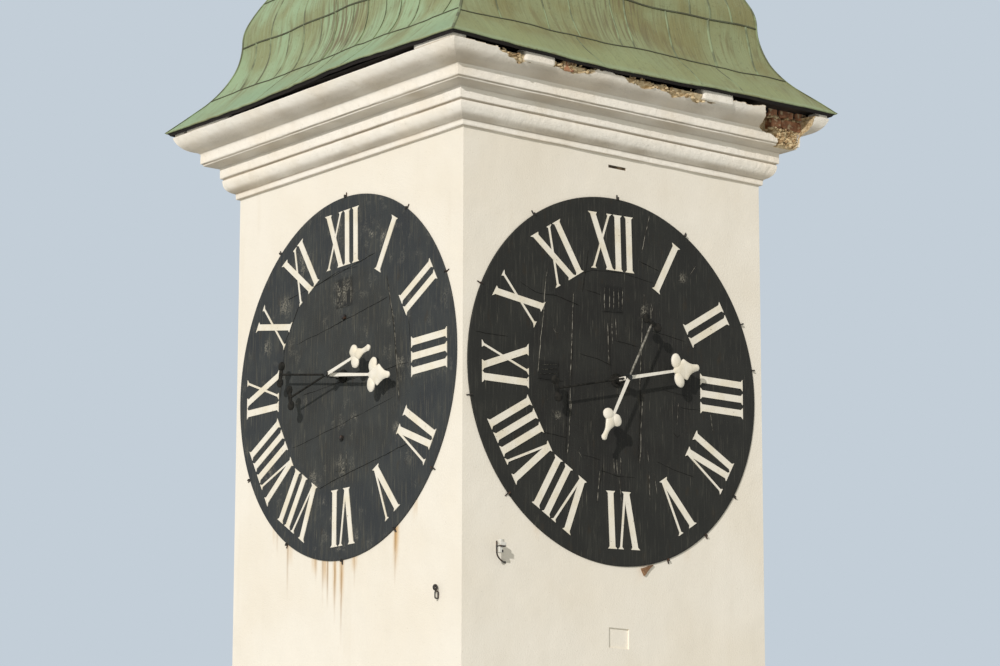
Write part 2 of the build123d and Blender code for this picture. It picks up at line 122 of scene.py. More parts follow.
# %% A piece from arrays
def piece(name, points, faces, body="tower", slot=None, replaces=(), values=None, sharp=40):
    """Mesh object made from arrays: faces is a list of arrays, values holds one number a point.

    It rides on a body and may stand for CAD nodes. The slot is not used.
    """
    points = np.asarray(points, float).reshape(-1, 3)
    if volume(points, faces) < 0:
        faces = [np.asarray(face)[..., ::-1] for face in faces]
    flat = [corners for face in faces for corners in np.atleast_2d(face).tolist()]
    mesh = bpy.data.meshes.new(name)
    mesh.from_pydata(points.tolist(), [], flat)
    for key, numbers in (values or {}).items():
        numbers = np.asarray(numbers, np.float32)
        kind, field = ("FLOAT_VECTOR", "vector") if numbers.shape[-1:] == (3,) else ("FLOAT", "value")
        mesh.attributes.new(key, kind, "POINT").data.foreach_set(field, numbers.ravel())
    mesh.shade_smooth()
    mesh.set_sharp_from_angle(angle=math.radians(sharp))
    obj = bpy.data.objects.new(name, mesh)
    bpy.context.scene.collection.objects.link(obj)
    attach(obj, body)
    if replaces:
        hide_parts(*replaces)
    print(f"{name}: {len(flat)} faces")


# %% [markdown]
# Two ways to close a surface. A tube is a closed loop of points carried along a path, with a flat
# cap at each end. A shell is one sheet with a second sheet behind it and a strip round their edge.

# %% Tubes and shells
def tube(loops):
    """Faces of many tubes at once: loops has the shape (tubes, stations, points round, 3)."""
    loops = np.asarray(loops, float)
    loops = loops.reshape(-1, *loops.shape[-3:])
    count, stations, around, _ = loops.shape
    side = quads(stations, around, wrap=True)
    first = np.arange(around)[None, ::-1]
    last = np.arange(around)[None] + (stations - 1) * around
    step = (np.arange(count) * stations * around)[:, None, None]
    return [(part[None] + step).reshape(-1, part.shape[1]) for part in (side, first, last)]


def shell(outer, inner):
    """Points and faces of the closed solid between two grids of the same shape."""
    rows, columns = outer.shape[:2]
    front = quads(rows, columns)
    back = front[:, ::-1] + rows * columns
    number = np.arange(rows * columns).reshape(rows, columns)
    rim = np.concatenate([number[0, :-1], number[:-1, -1], number[-1, :0:-1], number[:0:-1, 0]])
    nxt = np.roll(rim, -1)
    edge = np.stack([nxt, rim, rim + rows * columns, nxt + rows * columns], -1)
    return np.concatenate([outer.reshape(-1, 3), inner.reshape(-1, 3)]), [front, back, edge]


def joined(groups):
    """Points and faces of several solids put into one mesh."""
    points, faces, start = [], [], 0
    for group_points, group_faces in groups:
        group_points = np.asarray(group_points, float).reshape(-1, 3)
        points.append(group_points)
        faces += [np.asarray(face) + start for face in group_faces]
        start += len(group_points)
    return np.concatenate(points), faces


# %% [markdown]
# Old plaster, stone and sheet metal are never quite even. Value noise gives a smooth random number
# at each point of space: random numbers sit on a cubic lattice and are blended between neighbours.
# The same point always gets the same number, so two sides that meet at a corner still fit.

# %% Noise
def noise(points, cell, seed=0):
    """Smooth random value from -1 to 1: lattice numbers blended with the curve 3t^2 - 2t^3."""
    scaled = np.asarray(points, float) / cell + 1000.0
    low = np.floor(scaled).astype(np.int64)
    t = scaled - low
    t = t * t * (3 - 2 * t)
    total = np.zeros(scaled.shape[:-1])
    for corner in np.ndindex(2, 2, 2):
        at = low + np.array(corner)
        code = at[..., 0] * 73856093 ^ at[..., 1] * 19349663 ^ at[..., 2] * 83492791 ^ (seed * 2654435)
        code = (code ^ (code >> 13)) * 1274126177 & 0x7FFFFFFF
        value = ((code ^ (code >> 16)) & 0xFFFF) / 32767.5 - 1
        weight = np.prod(np.where(np.array(corner) == 1, t, 1 - t), axis=-1)
        total += weight * value
    return total


def rough(points, cell, seed=0):
    """Three layers of noise, each with half the cell and half the strength of the one before."""
    return sum(noise(points, cell / 2 ** k, seed + k) / 2 ** k for k in range(3))


def smooth(low, high, value):
    """0 below low, 1 above high, and the curve 3t^2 - 2t^3 between them."""
    t = np.clip((value - low) / (high - low), 0, 1)
    return t * t * (3 - 2 * t)


def hump(value, middle, reach):
    """Bell curve that is 1 at the middle: e^(-((value - middle) / reach)^2)."""
    return np.exp(-((value - middle) / reach) ** 2)


# %% [markdown]
# Materials are node trees. One helper adds a node with its settings and its inputs. Colours are
# written as they look on a screen, in hexadecimal, and one function turns them to the linear
# values that the renderer adds up. Old finishes are built up as the weather does it: a ground
# colour, then cloudy patches of dirt and wear laid over it, then bumps from coarse to fine.

# %% Colours, nodes and materials
def linear(code):
    """Linear colour of an sRGB hex code, by the standard curve of sRGB."""
    shares = [int(code[i:i + 2], 16) / 255 for i in (1, 3, 5)]
    return (*(v / 12.92 if v <= 0.04045 else ((v + 0.055) / 1.055) ** 2.4 for v in shares), 1.0)


def add(tree, kind, inputs=None, **settings):
    """One shader node: settings are its properties, inputs its sockets by name or number.

    An input may be a number, a hex colour, a socket, or a node, whose first live output is taken.
    """
    node = tree.nodes.new("ShaderNode" + kind)
    for key, value in settings.items():
        setattr(node, key, value)
    for key, value in (inputs or {}).items():
        if isinstance(value, bpy.types.Node):
            value = next(socket for socket in value.outputs if socket.enabled)
        if isinstance(value, bpy.types.NodeSocket):
            tree.links.new(value, node.inputs[key])
        else:
            node.inputs[key].default_value = linear(value) if isinstance(value, str) else value
    return node


def new_material(name, **constants):
    """Material with an empty tree, a principled shader with its constants, and an output."""
    material = bpy.data.materials.new(name)
    material.use_nodes = True
    tree = material.node_tree
    tree.nodes.clear()
    sockets = {key.replace("_", " ").title().replace("Ior", "IOR"): v for key, v in constants.items()}
    shader = add(tree, "BsdfPrincipled", sockets)
    add(tree, "OutputMaterial", {"Surface": shader})
    return material, tree, shader


# %% Patches, stains and bumps
def patches(tree, place, cell, low, high, stretch=(1, 1, 1), detail=4, distortion=0.0):
    """Share from 0 to 1 that rises where cloudy noise passes from low to high.

    The clouds are cell metres wide, times the stretch of each axis.
    """
    scale = tuple(1 / (cell * s) for s in stretch)
    spread = add(tree, "Mapping", {"Vector": place, "Scale": scale})
    cloud = add(tree, "TexNoise", {"Vector": spread, "Scale": 1.0, "Detail": detail,
                                   "Distortion": distortion})
    return add(tree, "MapRange", {0: cloud, 1: low, 2: high}, interpolation_type="SMOOTHSTEP")


def stain(tree, under, share, over, strength=1.0):
    """Colour over laid on colour under, by a share times a strength."""
    part = add(tree, "Math", {0: share, 1: strength}, operation="MULTIPLY")
    return add(tree, "Mix", {0: part, 6: under, 7: over}, data_type="RGBA")


def dress(tree, shader, colour, bumps):
    """Gives the shader its colour and its bumps: a height from 0 to 1 and the depth that 1 stands for."""
    tree.links.new(colour.outputs[2], shader.inputs["Base Color"])
    normal = None
    for height, depth in bumps:
        inputs = {"Height": height, "Distance": depth}
        if normal:
            inputs["Normal"] = normal
        normal = add(tree, "Bump", inputs)
    if normal:
        tree.links.new(normal.outputs[0], shader.inputs["Normal"])


# %% Whole coats
def coat(name, ground, layers, **constants):
    """Material whose ground colour lies under layers of cloudy patches.

    Each layer is a cell size with its two thresholds, any other options of patches, the colour laid
    on and its strength, and the depth of its bump. None stands for no colour or no bump.
    """
    material, tree, shader = new_material(name, **constants)
    place = add(tree, "TexCoord").outputs["Object"]
    colour, bumps = ground, []
    for cell_and_thresholds, options, over, strength, depth in layers:
        share = patches(tree, place, *cell_and_thresholds, **options)
        if over:
            colour = stain(tree, colour, share, over, strength)
        if depth:
            bumps.append((share, depth))
    dress(tree, shader, colour, bumps)
    return material


def finish(material, *names):
    """Gives a material to CAD nodes or to pieces, by name."""
    for name in names:
        data = bpy.data.objects[name].data
        data.materials.clear()
        data.materials.append(material)
    print(f"{material.name}: on {len(names)} meshes")


# %% [markdown]
# ## Lime wash on cement render
# The shaft is brick under a trowelled cement render, brushed with lime. Lime wash is matt and warm
# white. It darkens in soft clouds where rain stands longer, and its surface waves by a few
# millimetres from the trowel over a fine sandy grain. Under a dial, water that has run over iron
# clips leaves brown streaks, so the walls below the dials get a second, stronger set of marks.

# %% Rust streaks below a dial
LEFT_WASHES = [  # across from the dial's middle, length below its edge, strength, half width
    (-0.80, 0.14, 0.30, 0.055), (-0.60, 0.16, 0.40, 0.050), (-0.315, 0.13, 0.65, 0.045),
    (-0.200, 0.20, 0.70, 0.050), (-0.088, 0.32, 0.90, 0.030), (-0.012, 0.36, 0.85, 0.036),
    (0.125, 0.12, 0.65, 0.045), (0.572, 0.32, 1.0, 0.042), (0.78, 0.14, 0.35, 0.045),
    (0.947, 0.30, 0.30, 0.035)]
LEFT_LINES = [  # the same four numbers a line
    (-0.822, 0.26, 0.35, 0.012), (-0.745, 0.18, 0.40, 0.012), (-0.622, 0.42, 0.70, 0.012),
    (-0.300, 0.18, 0.50, 0.012), (-0.222, 0.34, 0.65, 0.011), (-0.168, 0.36, 0.85, 0.012),
    (-0.088, 0.46, 0.90, 0.012), (-0.015, 0.62, 0.90, 0.013), (0.128, 0.24, 0.40, 0.012),
    (0.562, 0.42, 0.80, 0.012)]
FRONT_WASHES = [(-0.648, 0.10, 0.16, 0.04), (0.20, 0.14, 0.16, 0.04), (0.602, 0.12, 0.16, 0.04)]


def streak_share(tree, side, streaks):
    """Share of rust: a ramp across the wall gives each streak's strength (red) and length (green).

    The strength fades from the dial's edge, which lies sqrt(r^2 - across^2) below its middle,
    over the streak's length, and is broken up by noise drawn out along the fall.
    """
    place = add(tree, "TexCoord").outputs["Object"]
    split = add(tree, "SeparateXYZ", {0: place})
    axis, sign = {"front": (0, 1), "right": (1, 1), "back": (0, -1), "left": (1, -1)}[side]
    u0, z0 = dial_place[side]
    across = add(tree, "Math", {0: split.outputs[axis], 1: sign, 2: -u0}, operation="MULTIPLY_ADD")
    height = add(tree, "Math", {0: split.outputs[2], 1: z0}, operation="SUBTRACT")
    along_ramp = add(tree, "MapRange", {0: across, 1: -dial_radius, 2: dial_radius})
    ramp = add(tree, "ValToRGB", {0: along_ramp})
    stops = ramp.color_ramp.elements
    stops[0].color = stops[1].color = (0, 0, 0, 1)
    for middle, length, strength, half_width in streaks:
        for offset, red in ((-half_width, 0), (0, strength), (half_width, 0)):
            stop = stops.new((middle + offset + dial_radius) / (2 * dial_radius))
            stop.color = (red, length, 0, 1)
    channel = add(tree, "SeparateColor", {0: ramp.outputs[0]})
    square = add(tree, "Math", {0: across, 1: across}, operation="MULTIPLY")
    chord = add(tree, "Math", {0: dial_radius ** 2, 1: square}, operation="SUBTRACT")
    edge = add(tree, "Math", {0: chord}, operation="SQRT")
    below = add(tree, "Math", {0: add(tree, "Math", {0: height, 1: edge}, operation="ADD"), 1: -1.0},
                operation="MULTIPLY")
    run = add(tree, "Math", {0: below, 1: channel.outputs[1]}, operation="DIVIDE")
    fade = add(tree, "MapRange", {0: run, 1: 1.0, 2: 0.15}, interpolation_type="SMOOTHSTEP")
    start = add(tree, "MapRange", {0: below, 1: -0.01, 2: 0.005})
    broken = patches(tree, place, 0.014, 0.16, 0.5, stretch=(1, 1, 9))
    share = channel.outputs[0]
    for factor in (fade, start, broken):
        share = add(tree, "Math", {0: share, 1: factor}, operation="MULTIPLY")
    return share


# %% Lime wash
LIME = "#F4EEE1"
LIME_WARM = "#EDE4D2"
LIME_DAMP = "#DDD2BE"


def lime_wash(name, side=None, washes=(), lines=()):
    """Lime-washed render: matt, so no highlight runs along the wall.

    Under a dial there is rust in broad ochre washes, and narrow brown lines run down in them.
    """
    material, tree, shader = new_material(name, roughness=0.92, ior=1.45)
    place = add(tree, "TexCoord").outputs["Object"]
    warm = patches(tree, place, 0.8, 0.36, 0.72, detail=6)
    damp = patches(tree, place, 0.16, 0.54, 0.82, stretch=(1, 1, 7), distortion=0.4)
    fly_spots = patches(tree, place, 0.014, 0.70, 0.76, detail=2)
    colour = stain(tree, LIME, warm, LIME_WARM, strength=0.6)
    colour = stain(tree, colour, damp, LIME_DAMP, strength=0.22)
    colour = stain(tree, colour, fly_spots, "#B9AC93", strength=0.25)
    foot = add(tree, "SeparateXYZ", {0: place})
    splash = add(tree, "MapRange", {0: foot.outputs[2], 1: 1.1, 2: 0.2}, interpolation_type="SMOOTHSTEP")
    mud = patches(tree, place, 0.30, 0.05, 0.80, detail=8)
    splash = add(tree, "Math", {0: splash, 1: mud}, operation="MULTIPLY")
    colour = stain(tree, colour, splash, "#AFA48D", strength=0.60)
    for streaks, rust in ((washes, "#D2AB72"), (lines, "#A07C4E")):
        if streaks:
            colour = stain(tree, colour, streak_share(tree, side, streaks), rust)
    trowel = patches(tree, place, 0.34, 0.3, 0.7, detail=2)
    sand = patches(tree, place, 0.007, 0.3, 0.7, detail=3)
    dress(tree, shader, colour, [(trowel, 0.004), (sand, 0.0007)])
    return material


plain_wash = lime_wash("lime wash on render")
left_wash = lime_wash("lime wash under the left dial", "left", LEFT_WASHES, LEFT_LINES)
right_wash = lime_wash("lime wash under the right dial", "right", LEFT_WASHES, LEFT_LINES)
front_wash = lime_wash("lime wash under the front dial", "front", FRONT_WASHES)
finish(front_wash, "front_wall")
finish(left_wash, "left_wall")
finish(right_wash, "right_wall")
finish(plain_wash, "back_wall", "back_pier_left", "back_pier_right", "plinth")

# %% [markdown]
# ## Stone, timber and iron
# The floor and the threshold are dressed limestone, worn smooth in grey clouds. The door is of
# weathered boards whose grain runs up the leaf, so its noise is drawn out along Z. Old iron is
# black and dull, with rust where the paint has gone. The lamp's enamel is smoother than the wall.

# %% Limestone, timber, iron and enamel
def limestone():
    """Dressed limestone: grey-buff clouds, small pores, a dull sheen from wear."""
    clouds = ((0.25, 0.35, 0.7), {}, "#8C8577", 1.0, 0.002)
    pores = ((0.009, 0.6, 0.7), {"detail": 2}, "#6F695D", 0.6, 0.0008)
    return coat("dressed limestone", "#A79F90", [clouds, pores], roughness=0.75, ior=1.5)


def weathered_timber(name, light, dark, stretch):
    """Softwood boards: fibres a few millimetres apart, drawn out along the board."""
    fibres = ((0.006, 0.3, 0.7), {"stretch": stretch, "detail": 3}, dark, 1.0, 0.0012)
    weather = ((0.12, 0.4, 0.7), {"stretch": stretch}, dark, 0.5, None)
    return coat(name, light, [fibres, weather], roughness=0.8, ior=1.45)


def old_iron():
    """Wrought iron under worn black paint: dull, with brown rust in patches."""
    rust = ((0.03, 0.5, 0.68), {}, "#5A3B26", 0.75, None)
    pits = ((0.004, 0.4, 0.7), {"detail": 2}, None, None, 0.0006)
    return coat("old wrought iron", "#2B2825", [rust, pits], roughness=0.62, ior=1.5)


def old_enamel():
    """Off-white enamel on the small lamp: smooth, with grey dirt in soft clouds."""
    dirt = ((0.03, 0.45, 0.75), {}, "#A8A294", 0.8, 0.0004)
    return coat("off-white enamel", "#DEDCD3", [dirt], roughness=0.4, ior=1.5)


iron = old_iron()
door_wood = weathered_timber("weathered door boards", "#6B5440", "#43342A", (1, 1, 30))
# Roof timber: its near-black colour is painted shade, standing for the deep shade in the gap under the
# copper's edge.
roof_wood_dark_as_shade = weathered_timber("darkened roof timber", "#2A221C", "#17120F", (12, 12, 1))
finish(limestone(), "floor_slab", "threshold")
finish(door_wood, "door_frame", "door_leaf")
finish(roof_wood_dark_as_shade, "eave_frame")
finish(iron, "door_ironwork")

# %% [markdown]
# ## The run cornice
# A plaster cornice is run in place: a board cut to the section is drawn along the wall, so one
# outline goes along all four sides and meets itself at mitred corners. The section here has the
# CAD's members, with a flatter underside and a higher corona over it. It is sampled twice, once with
# sharp arrises and once rounded over, and noise decides where along the wall the moulding is still
# crisp and where the weather has worn it.

# %% Members of the moulding
BED = (0.040, 0.022)      # height, distance out from the wall
OVOLO = (0.098, 0.090)
GROOVE = (0.010, 0.006)
FASCIA = (0.077, 0.102)
COVE_HEIGHT = 0.017
DRIP = (0.015, 0.186)
CORONA = (0.080, 0.200)
COVE_MIDDLE = (0.32, 0.72)   # where a curved member's arc passes: its share of the way out and up
CROWN_MIDDLE = (0.74, 0.41)
OVOLO_RISE = math.radians(40)
OVOLO_MIDDLE = (0.74 * math.sin(2 * OVOLO_RISE) ** 2, 1.35 * (1 - math.cos(OVOLO_RISE)))  # as in the CAD
SECTION_STEP = 0.0045
WEAR_RADIUS = 0.007
CROWN_WEAR_RADIUS, CROWN_WEAR_REACH = 0.014, 0.022   # where the crown starts, over the corona
FULLY_HOLLOW = 0.003      # how far wear moves a point that counts as quite hollow


# %% Arcs and even steps
def arc(start, middle, end, count=24):
    """Points on the circle through three points, evenly spaced from the first to the last."""
    (ax, ay), (bx, by), (cx, cy) = start, middle, end
    d = 2 * (ax * (by - cy) + bx * (cy - ay) + cx * (ay - by))
    a2, b2, c2 = ax * ax + ay * ay, bx * bx + by * by, cx * cx + cy * cy
    x0 = (a2 * (by - cy) + b2 * (cy - ay) + c2 * (ay - by)) / d
    y0 = (a2 * (cx - bx) + b2 * (ax - cx) + c2 * (bx - ax)) / d
    first, mid, last = (math.atan2(y - y0, x - x0) for x, y in (start, middle, end))
    turn, half_way = (last - first) % math.tau, (mid - first) % math.tau
    turn -= math.tau if half_way > turn else 0
    angles = first + turn * np.linspace(0, 1, count)
    radius = math.hypot(ax - x0, ay - y0)
    return np.stack([x0 + radius * np.cos(angles), y0 + radius * np.sin(angles)], -1)


def member(start, end, shares):
    """Arc from start to end that passes a point at these shares of the way out and up."""
    return arc(start, [a + (b - a) * share for a, b, share in zip(start, end, shares)], end)


def run_length(points):
    """Distance along a line to each of its points."""
    return np.concatenate([[0], np.cumsum(np.linalg.norm(np.diff(points, axis=0), axis=1))])


def points_at(distances, points):
    """Points at given distances along a line through the given points of a plane."""
    length = run_length(points)
    return np.stack([np.interp(distances, length, points[:, k]) for k in (0, 1)], -1)


def evenly(points, step):
    """Points at equal distances, about a step apart, along a line through the given points."""
    total = run_length(points)[-1]
    return points_at(np.linspace(0, total, int(round(total / step)) + 1), points)


def rounded(loop, radius, step):
    """Closed line softened by a bell-shaped average whose width is the radius of wear."""
    reach = int(3 * radius / step)
    offsets = np.arange(-reach, reach + 1)
    weights = np.exp(-0.5 * (offsets * step / radius) ** 2)
    return sum(w * np.roll(loop, -k, axis=0) for k, w in zip(offsets, weights / weights.sum()))


# %% Sharp and worn section
def cornice_section():
    """Sharp section, worn section, how hollow (+) or proud (-) a point is, how far it faces down.

    A point's place is its distance from the tower's axis and its height; the loop is closed by the
    top and the back.
    """
    heights = [BED[0], OVOLO[0], GROOVE[0], FASCIA[0], COVE_HEIGHT, DRIP[0], CORONA[0]]
    bed_top, ovolo_top, groove_top, fascia_top, cove_top, drip_top, corona_top = (
        cornice_base + np.cumsum(heights))
    bed, ovolo, fascia, drip, corona = (half + part[1] for part in (BED, OVOLO, FASCIA, DRIP, CORONA))
    line = np.concatenate([
        [(half, cornice_base), (bed, cornice_base)],
        member((bed, bed_top), (ovolo, ovolo_top), OVOLO_MIDDLE),
        [(ovolo - GROOVE[1], ovolo_top), (ovolo - GROOVE[1], groove_top), (fascia, groove_top)],
        member((fascia, fascia_top), (drip, cove_top), COVE_MIDDLE),
        [(drip, drip_top), (corona, drip_top)],
        member((corona, corona_top), (half + crown_out, wall_top), CROWN_MIDDLE),
        [(half, wall_top), (half, cornice_base)]])
    sharp = evenly(line, SECTION_STEP)[:-1]
    under_crown = hump(sharp[:, 1], corona_top, CROWN_WEAR_REACH)[:, None]
    sharp = sharp + under_crown * (rounded(sharp, CROWN_WEAR_RADIUS, SECTION_STEP) - sharp)
    worn = rounded(sharp, WEAR_RADIUS, SECTION_STEP)
    run = np.roll(sharp, -1, axis=0) - np.roll(sharp, 1, axis=0)
    outward = np.stack([run[:, 1], -run[:, 0]], -1) / np.linalg.norm(run, axis=1)[:, None]
    hollow = np.clip(np.einsum("ij,ij->i", worn - sharp, outward) / FULLY_HOLLOW, -1, 1)
    hollow = hollow * (1 - 0.9 * under_crown[:, 0])
    faces_down = smooth(0.50, 0.80, -outward[:, 1])
    return sharp, worn, hollow, faces_down


section_sharp, section_worn, section_hollow, section_down = cornice_section()
print("section points", len(section_sharp))

# %% [markdown]
# Beside its right corner the front cornice has fallen away to the brick, and its top edge has
# crumbled. Seen from the front, the hole is a polygon with a torn edge. Inside it a point moves back
# to the core, and it is marked as broken, so that its material turns from lime wash to raw mortar.

# %% What is lost of the front cornice
HOLE = np.array([  # along the wall, drop below the top
    (1.012, -0.05), (1.020, 0.020), (1.062, 0.118), (1.180, 0.146), (1.246, 0.156), (1.250, 0.205),
    (1.266, 0.226), (1.392, 0.226), (1.422, 0.205), (1.441, 0.154), (1.448, 0.085), (1.466, -0.05)])
CRUMBLE = np.array([
    (-1.60, 0.0), (-1.43, 0.004), (-1.23, 0.018), (-1.18, 0.040), (-1.08, 0.070), (-0.99, 0.062),
    (-0.79, 0.048), (-0.70, 0.062), (-0.50, 0.050), (-0.42, 0.014), (-0.20, 0.016), (-0.15, 0.050),
    (0.10, 0.058), (0.20, 0.062), (0.46, 0.070), (0.71, 0.046), (0.76, 0.020), (0.99, 0.014), (1.60, 0.0)])
HOLE_CORE, CAVITY_CORE, CRUMBLE_CORE = 1.420, 1.385, 1.562
CAVITY_END = 1.225


# %% Hole and crumbled edge
def inside(polygon, x, y):
    """True where an odd number of the polygon's edges cross the level line to a point's right."""
    hit = np.zeros(x.shape, bool)
    for (x0, y0), (x1, y1) in zip(polygon, np.roll(polygon, -1, axis=0)):
        if y0 != y1:
            hit ^= ((y0 > y) != (y1 > y)) & (x < (x1 - x0) * (y - y0) / (y1 - y0) + x0)
    return hit


def lost_plaster(x, out, z):
    """Distance from the axis after the loss, and 1 where the plaster has gone.

    A point lies in the hole if its place, torn by noise, is inside the polygon. It has crumbled if
    it lies less below the top than the crumbled line, which noise bites into.
    """
    flat = np.stack([x, np.zeros_like(x), z], -1)
    torn = 0.010 * noise(flat, 0.040, 40) + 0.005 * noise(flat, 0.013, 41)
    shift = 0.007 * noise(flat, 0.030, 42)
    drop = wall_top - z
    in_hole = inside(HOLE, x + torn, drop + shift)
    in_hole &= out > HOLE_CORE - 0.02
    deep = smooth(CAVITY_END + 0.02, CAVITY_END - 0.03, x + 2 * torn)
    core = HOLE_CORE + (CAVITY_CORE - HOLE_CORE) * deep + 0.014 * rough(flat, 0.035, 43)
    back = np.where(in_hole, np.minimum(out, core), out)
    line = np.interp(x, CRUMBLE[:, 0], CRUMBLE[:, 1])
    bite = line + smooth(0.004, 0.02, line) * (0.012 * noise(flat, 0.07, 46) + 1.2 * torn)
    crumbled = (drop < bite) & (line > 0.003) & ~in_hole
    recess = 0.016 + 0.060 * smooth(0.024, 0.006, drop) - 0.011 * rough(flat, 0.022, 47)
    back = np.where(crumbled, np.minimum(back, out - np.clip(recess, 0.004, None)), back)
    wide = np.pad(in_hole | crumbled, 1, mode="edge")
    rows, columns = out.shape
    beside = [wide[a:a + rows, b:b + columns] for a, b in ((1, 1), (0, 1), (2, 1), (1, 0), (1, 2))]
    return back, np.logical_or.reduce(beside).astype(float)


# %% One run a side
BROKEN_FROM = 1.02     # along the front wall, where the stations start to stand closer
FRONT_STEP, PLAIN_STEP, BROKEN_STEP = 0.014, 0.024, 0.0048


def stations_along(broken):
    """Places along the wall from -1 to 1, closer together where the plaster is broken.

    Each end comes twice: once for the mitre's edge and once for the strips that close the mitre.
    """
    reach = half + crown_out
    coarse = np.arange(-1, 1, (FRONT_STEP if broken else PLAIN_STEP) / reach)
    if not broken:
        return np.r_[-1.0, coarse, 1.0, 1.0]
    start = BROKEN_FROM / reach
    close = np.arange(start, 1.0, BROKEN_STEP / reach)
    return np.r_[-1.0, coarse[coarse < start], close, 1.0, 1.0]


def cornice_run(side, broken):
    """Points of one side's run and two values for each: broken plaster, and dirt with painted shade.

    A point stands at (t d, -d, z) for a place t from -1 to 1 and a section point (d, z), so the
    ends lie on the mitre. Wear moves it from the sharp to the worn section; swelling and bites
    move it in or out, by noise read at its own place, so that mitred neighbours agree. The first
    and last section are drawn in to the wall's face, so that level strips close the mitre. The dirt
    value is real dirt and painted shade in hollows, and painted shade on what faces down.
    """
    outer = np.arange(len(section_sharp))
    visible = section_sharp[:, 0] > half + 0.002
    below_top = section_sharp[:, 1] < wall_top - 0.001
    keep = np.where(visible & below_top, outer % (1 if broken else 2) == 0, outer % 9 == 0)
    sharp, worn, hollow = section_sharp[keep], section_worn[keep], section_hollow[keep]
    t = stations_along(broken)[:, None]
    d, z = sharp[:, 0][None], sharp[:, 1][None]
    x = t * d
    place = turned(np.stack(np.broadcast_arrays(x, -d, z), -1), side)
    wear = 0.25 + 0.75 * smooth(-0.35, 0.55, noise(place, 0.24, 5))
    free = smooth(half, half + 0.02, d)
    out = d + free * wear * (worn[:, 0][None] - d)
    high = z + free * wear * (worn[:, 1][None] - z)
    swell = 0.0024 * noise(place, 0.42, 7) + 0.0013 * noise(place, 0.10, 8)
    proud = np.clip(-hollow, 0, 1)[None]
    bites = 0.006 * proud * smooth(0.25, 0.75, noise(place, 0.055, 9))
    pocks = 0.0016 * smooth(0.3, 0.8, rough(place, 0.03, 10))
    out = out + free * (swell - bites - pocks)
    gone = np.zeros_like(out)
    along = t * out
    if broken:
        out, gone = lost_plaster(along, out, high)
    for end in (0, -1):
        out[end] = half + 0.01 * (out[end] - half)
        along[end] = t[end] * out[end]
    points = turned(np.stack(np.broadcast_arrays(along, -out, high), -1), side)
    # Painted shade: surfaces that face down are darkened as if in shade, and hollows get painted shade on
    # top of their dirt.
    painted_shade = section_down[keep][None] * np.clip(0.54 + 0.22 * noise(place, 0.16, 11), 0, 1)
    dirt = np.maximum(np.clip(hollow, 0, 1)[None], painted_shade)
    return points, gone, dirt


for side in SIDES:
    points, gone, dirt = cornice_run(side, side == "front")
    piece(f"{side}_cornice_run", points, tube(points), slot="moulded_plaster",
          replaces=[f"{side}_cornice"], values={"gone": gone, "dirt": dirt}, sharp=50)

# %% [markdown]
# Lumps stand for bricks, stones and plaster blocks. Each is a ball whose round is squared off by a
# power, as a cushion or a box is, then dented by noise. All the lumps of a kind are one mesh.

# %% Lumps
POLE = 1.5   # latitude of a ball's last ring, in radians, which its cap closes


def squared_off(wave, power):
    """A cosine or a sine raised to a power that is under 1, with its sign kept."""
    return np.sign(wave) * np.abs(wave) ** power


def lumps(centres, sizes, turn=0.0, lean=0.0, square=0.35, stations=9, around=14, dent=0.08, seed=0):
    """Points of many squared balls, in the front side's frame: (lumps, stations, around, 3).

    With c(w) = sign(cos w) |cos w|^square, a point is size * (c(v) c(u), c(v) s(u), s(v)), turned
    about the upright axis, leant along the wall, dented by noise and moved to its centre.
    """
    centres, sizes = np.atleast_2d(centres), np.atleast_2d(sizes)
    v = np.linspace(-POLE, POLE, stations)[None, :, None]
    u = circle(around)[None, None, :]
    cos_v, sin_v, cos_u, sin_u = (squared_off(wave, square) for wave in
                                  (np.cos(v), np.sin(v), np.cos(u), np.sin(u)))
    unit = np.stack(np.broadcast_arrays(cos_v * cos_u, cos_v * sin_u, sin_v), -1)
    shape = np.broadcast_to(unit, (len(centres), stations, around, 3)) * sizes[:, None, None]
    near = shape / sizes.mean(axis=1)[:, None, None, None] + centres[:, None, None] * 37
    shape = shape * (1 + dent * rough(near, 0.9, seed))[..., None]
    turn, lean = (np.broadcast_to(np.asarray(a, float), len(centres))[:, None, None] for a in (turn, lean))
    x, y, z = np.moveaxis(shape, -1, 0)
    x, y = x * np.cos(turn) - y * np.sin(turn), x * np.sin(turn) + y * np.cos(turn)
    x, z = x * np.cos(lean) - z * np.sin(lean), x * np.sin(lean) + z * np.cos(lean)
    return np.stack([x, y, z], -1) + centres[:, None, None]


# %% Plaster blocks under the copper
BLOCKS = {  # along the wall: start, end; then how far the block hangs below the cornice's top
    "front": [(-1.015, -0.780, 0.062), (0.468, 0.735, 0.058), (1.497, 1.582, 0.004)],
    "right": [(-1.425, -0.925, 0.002), (1.155, 1.580, 0.002)],
    "back": [(-1.015, -0.780, 0.002), (0.468, 0.735, 0.002), (1.455, 1.580, 0.002)],
    "left": [(-1.425, -0.925, 0.002), (1.155, 1.580, 0.002)]}
BLOCK_FACE, BLOCK_DEPTH = half + crown_out - 0.004, 0.115
block_solids = []
for side in SIDES:
    for start, end, hang in BLOCKS[side]:
        size = ((end - start) / 2, BLOCK_DEPTH / 2, (eave_level - wall_top + hang) / 2)
        centre = ((start + end) / 2, -BLOCK_FACE + size[1], eave_level - size[2])
        block = lumps([centre], [size], lean=0.01 * math.sin(9 * start), square=0.22,
                      stations=18, around=48, dent=0.045, seed=3)
        block_solids.append((turned(block, side), tube(block)))
piece("plaster_eave_blocks", *joined(block_solids), slot="moulded_plaster", replaces=["eave_blocks"])

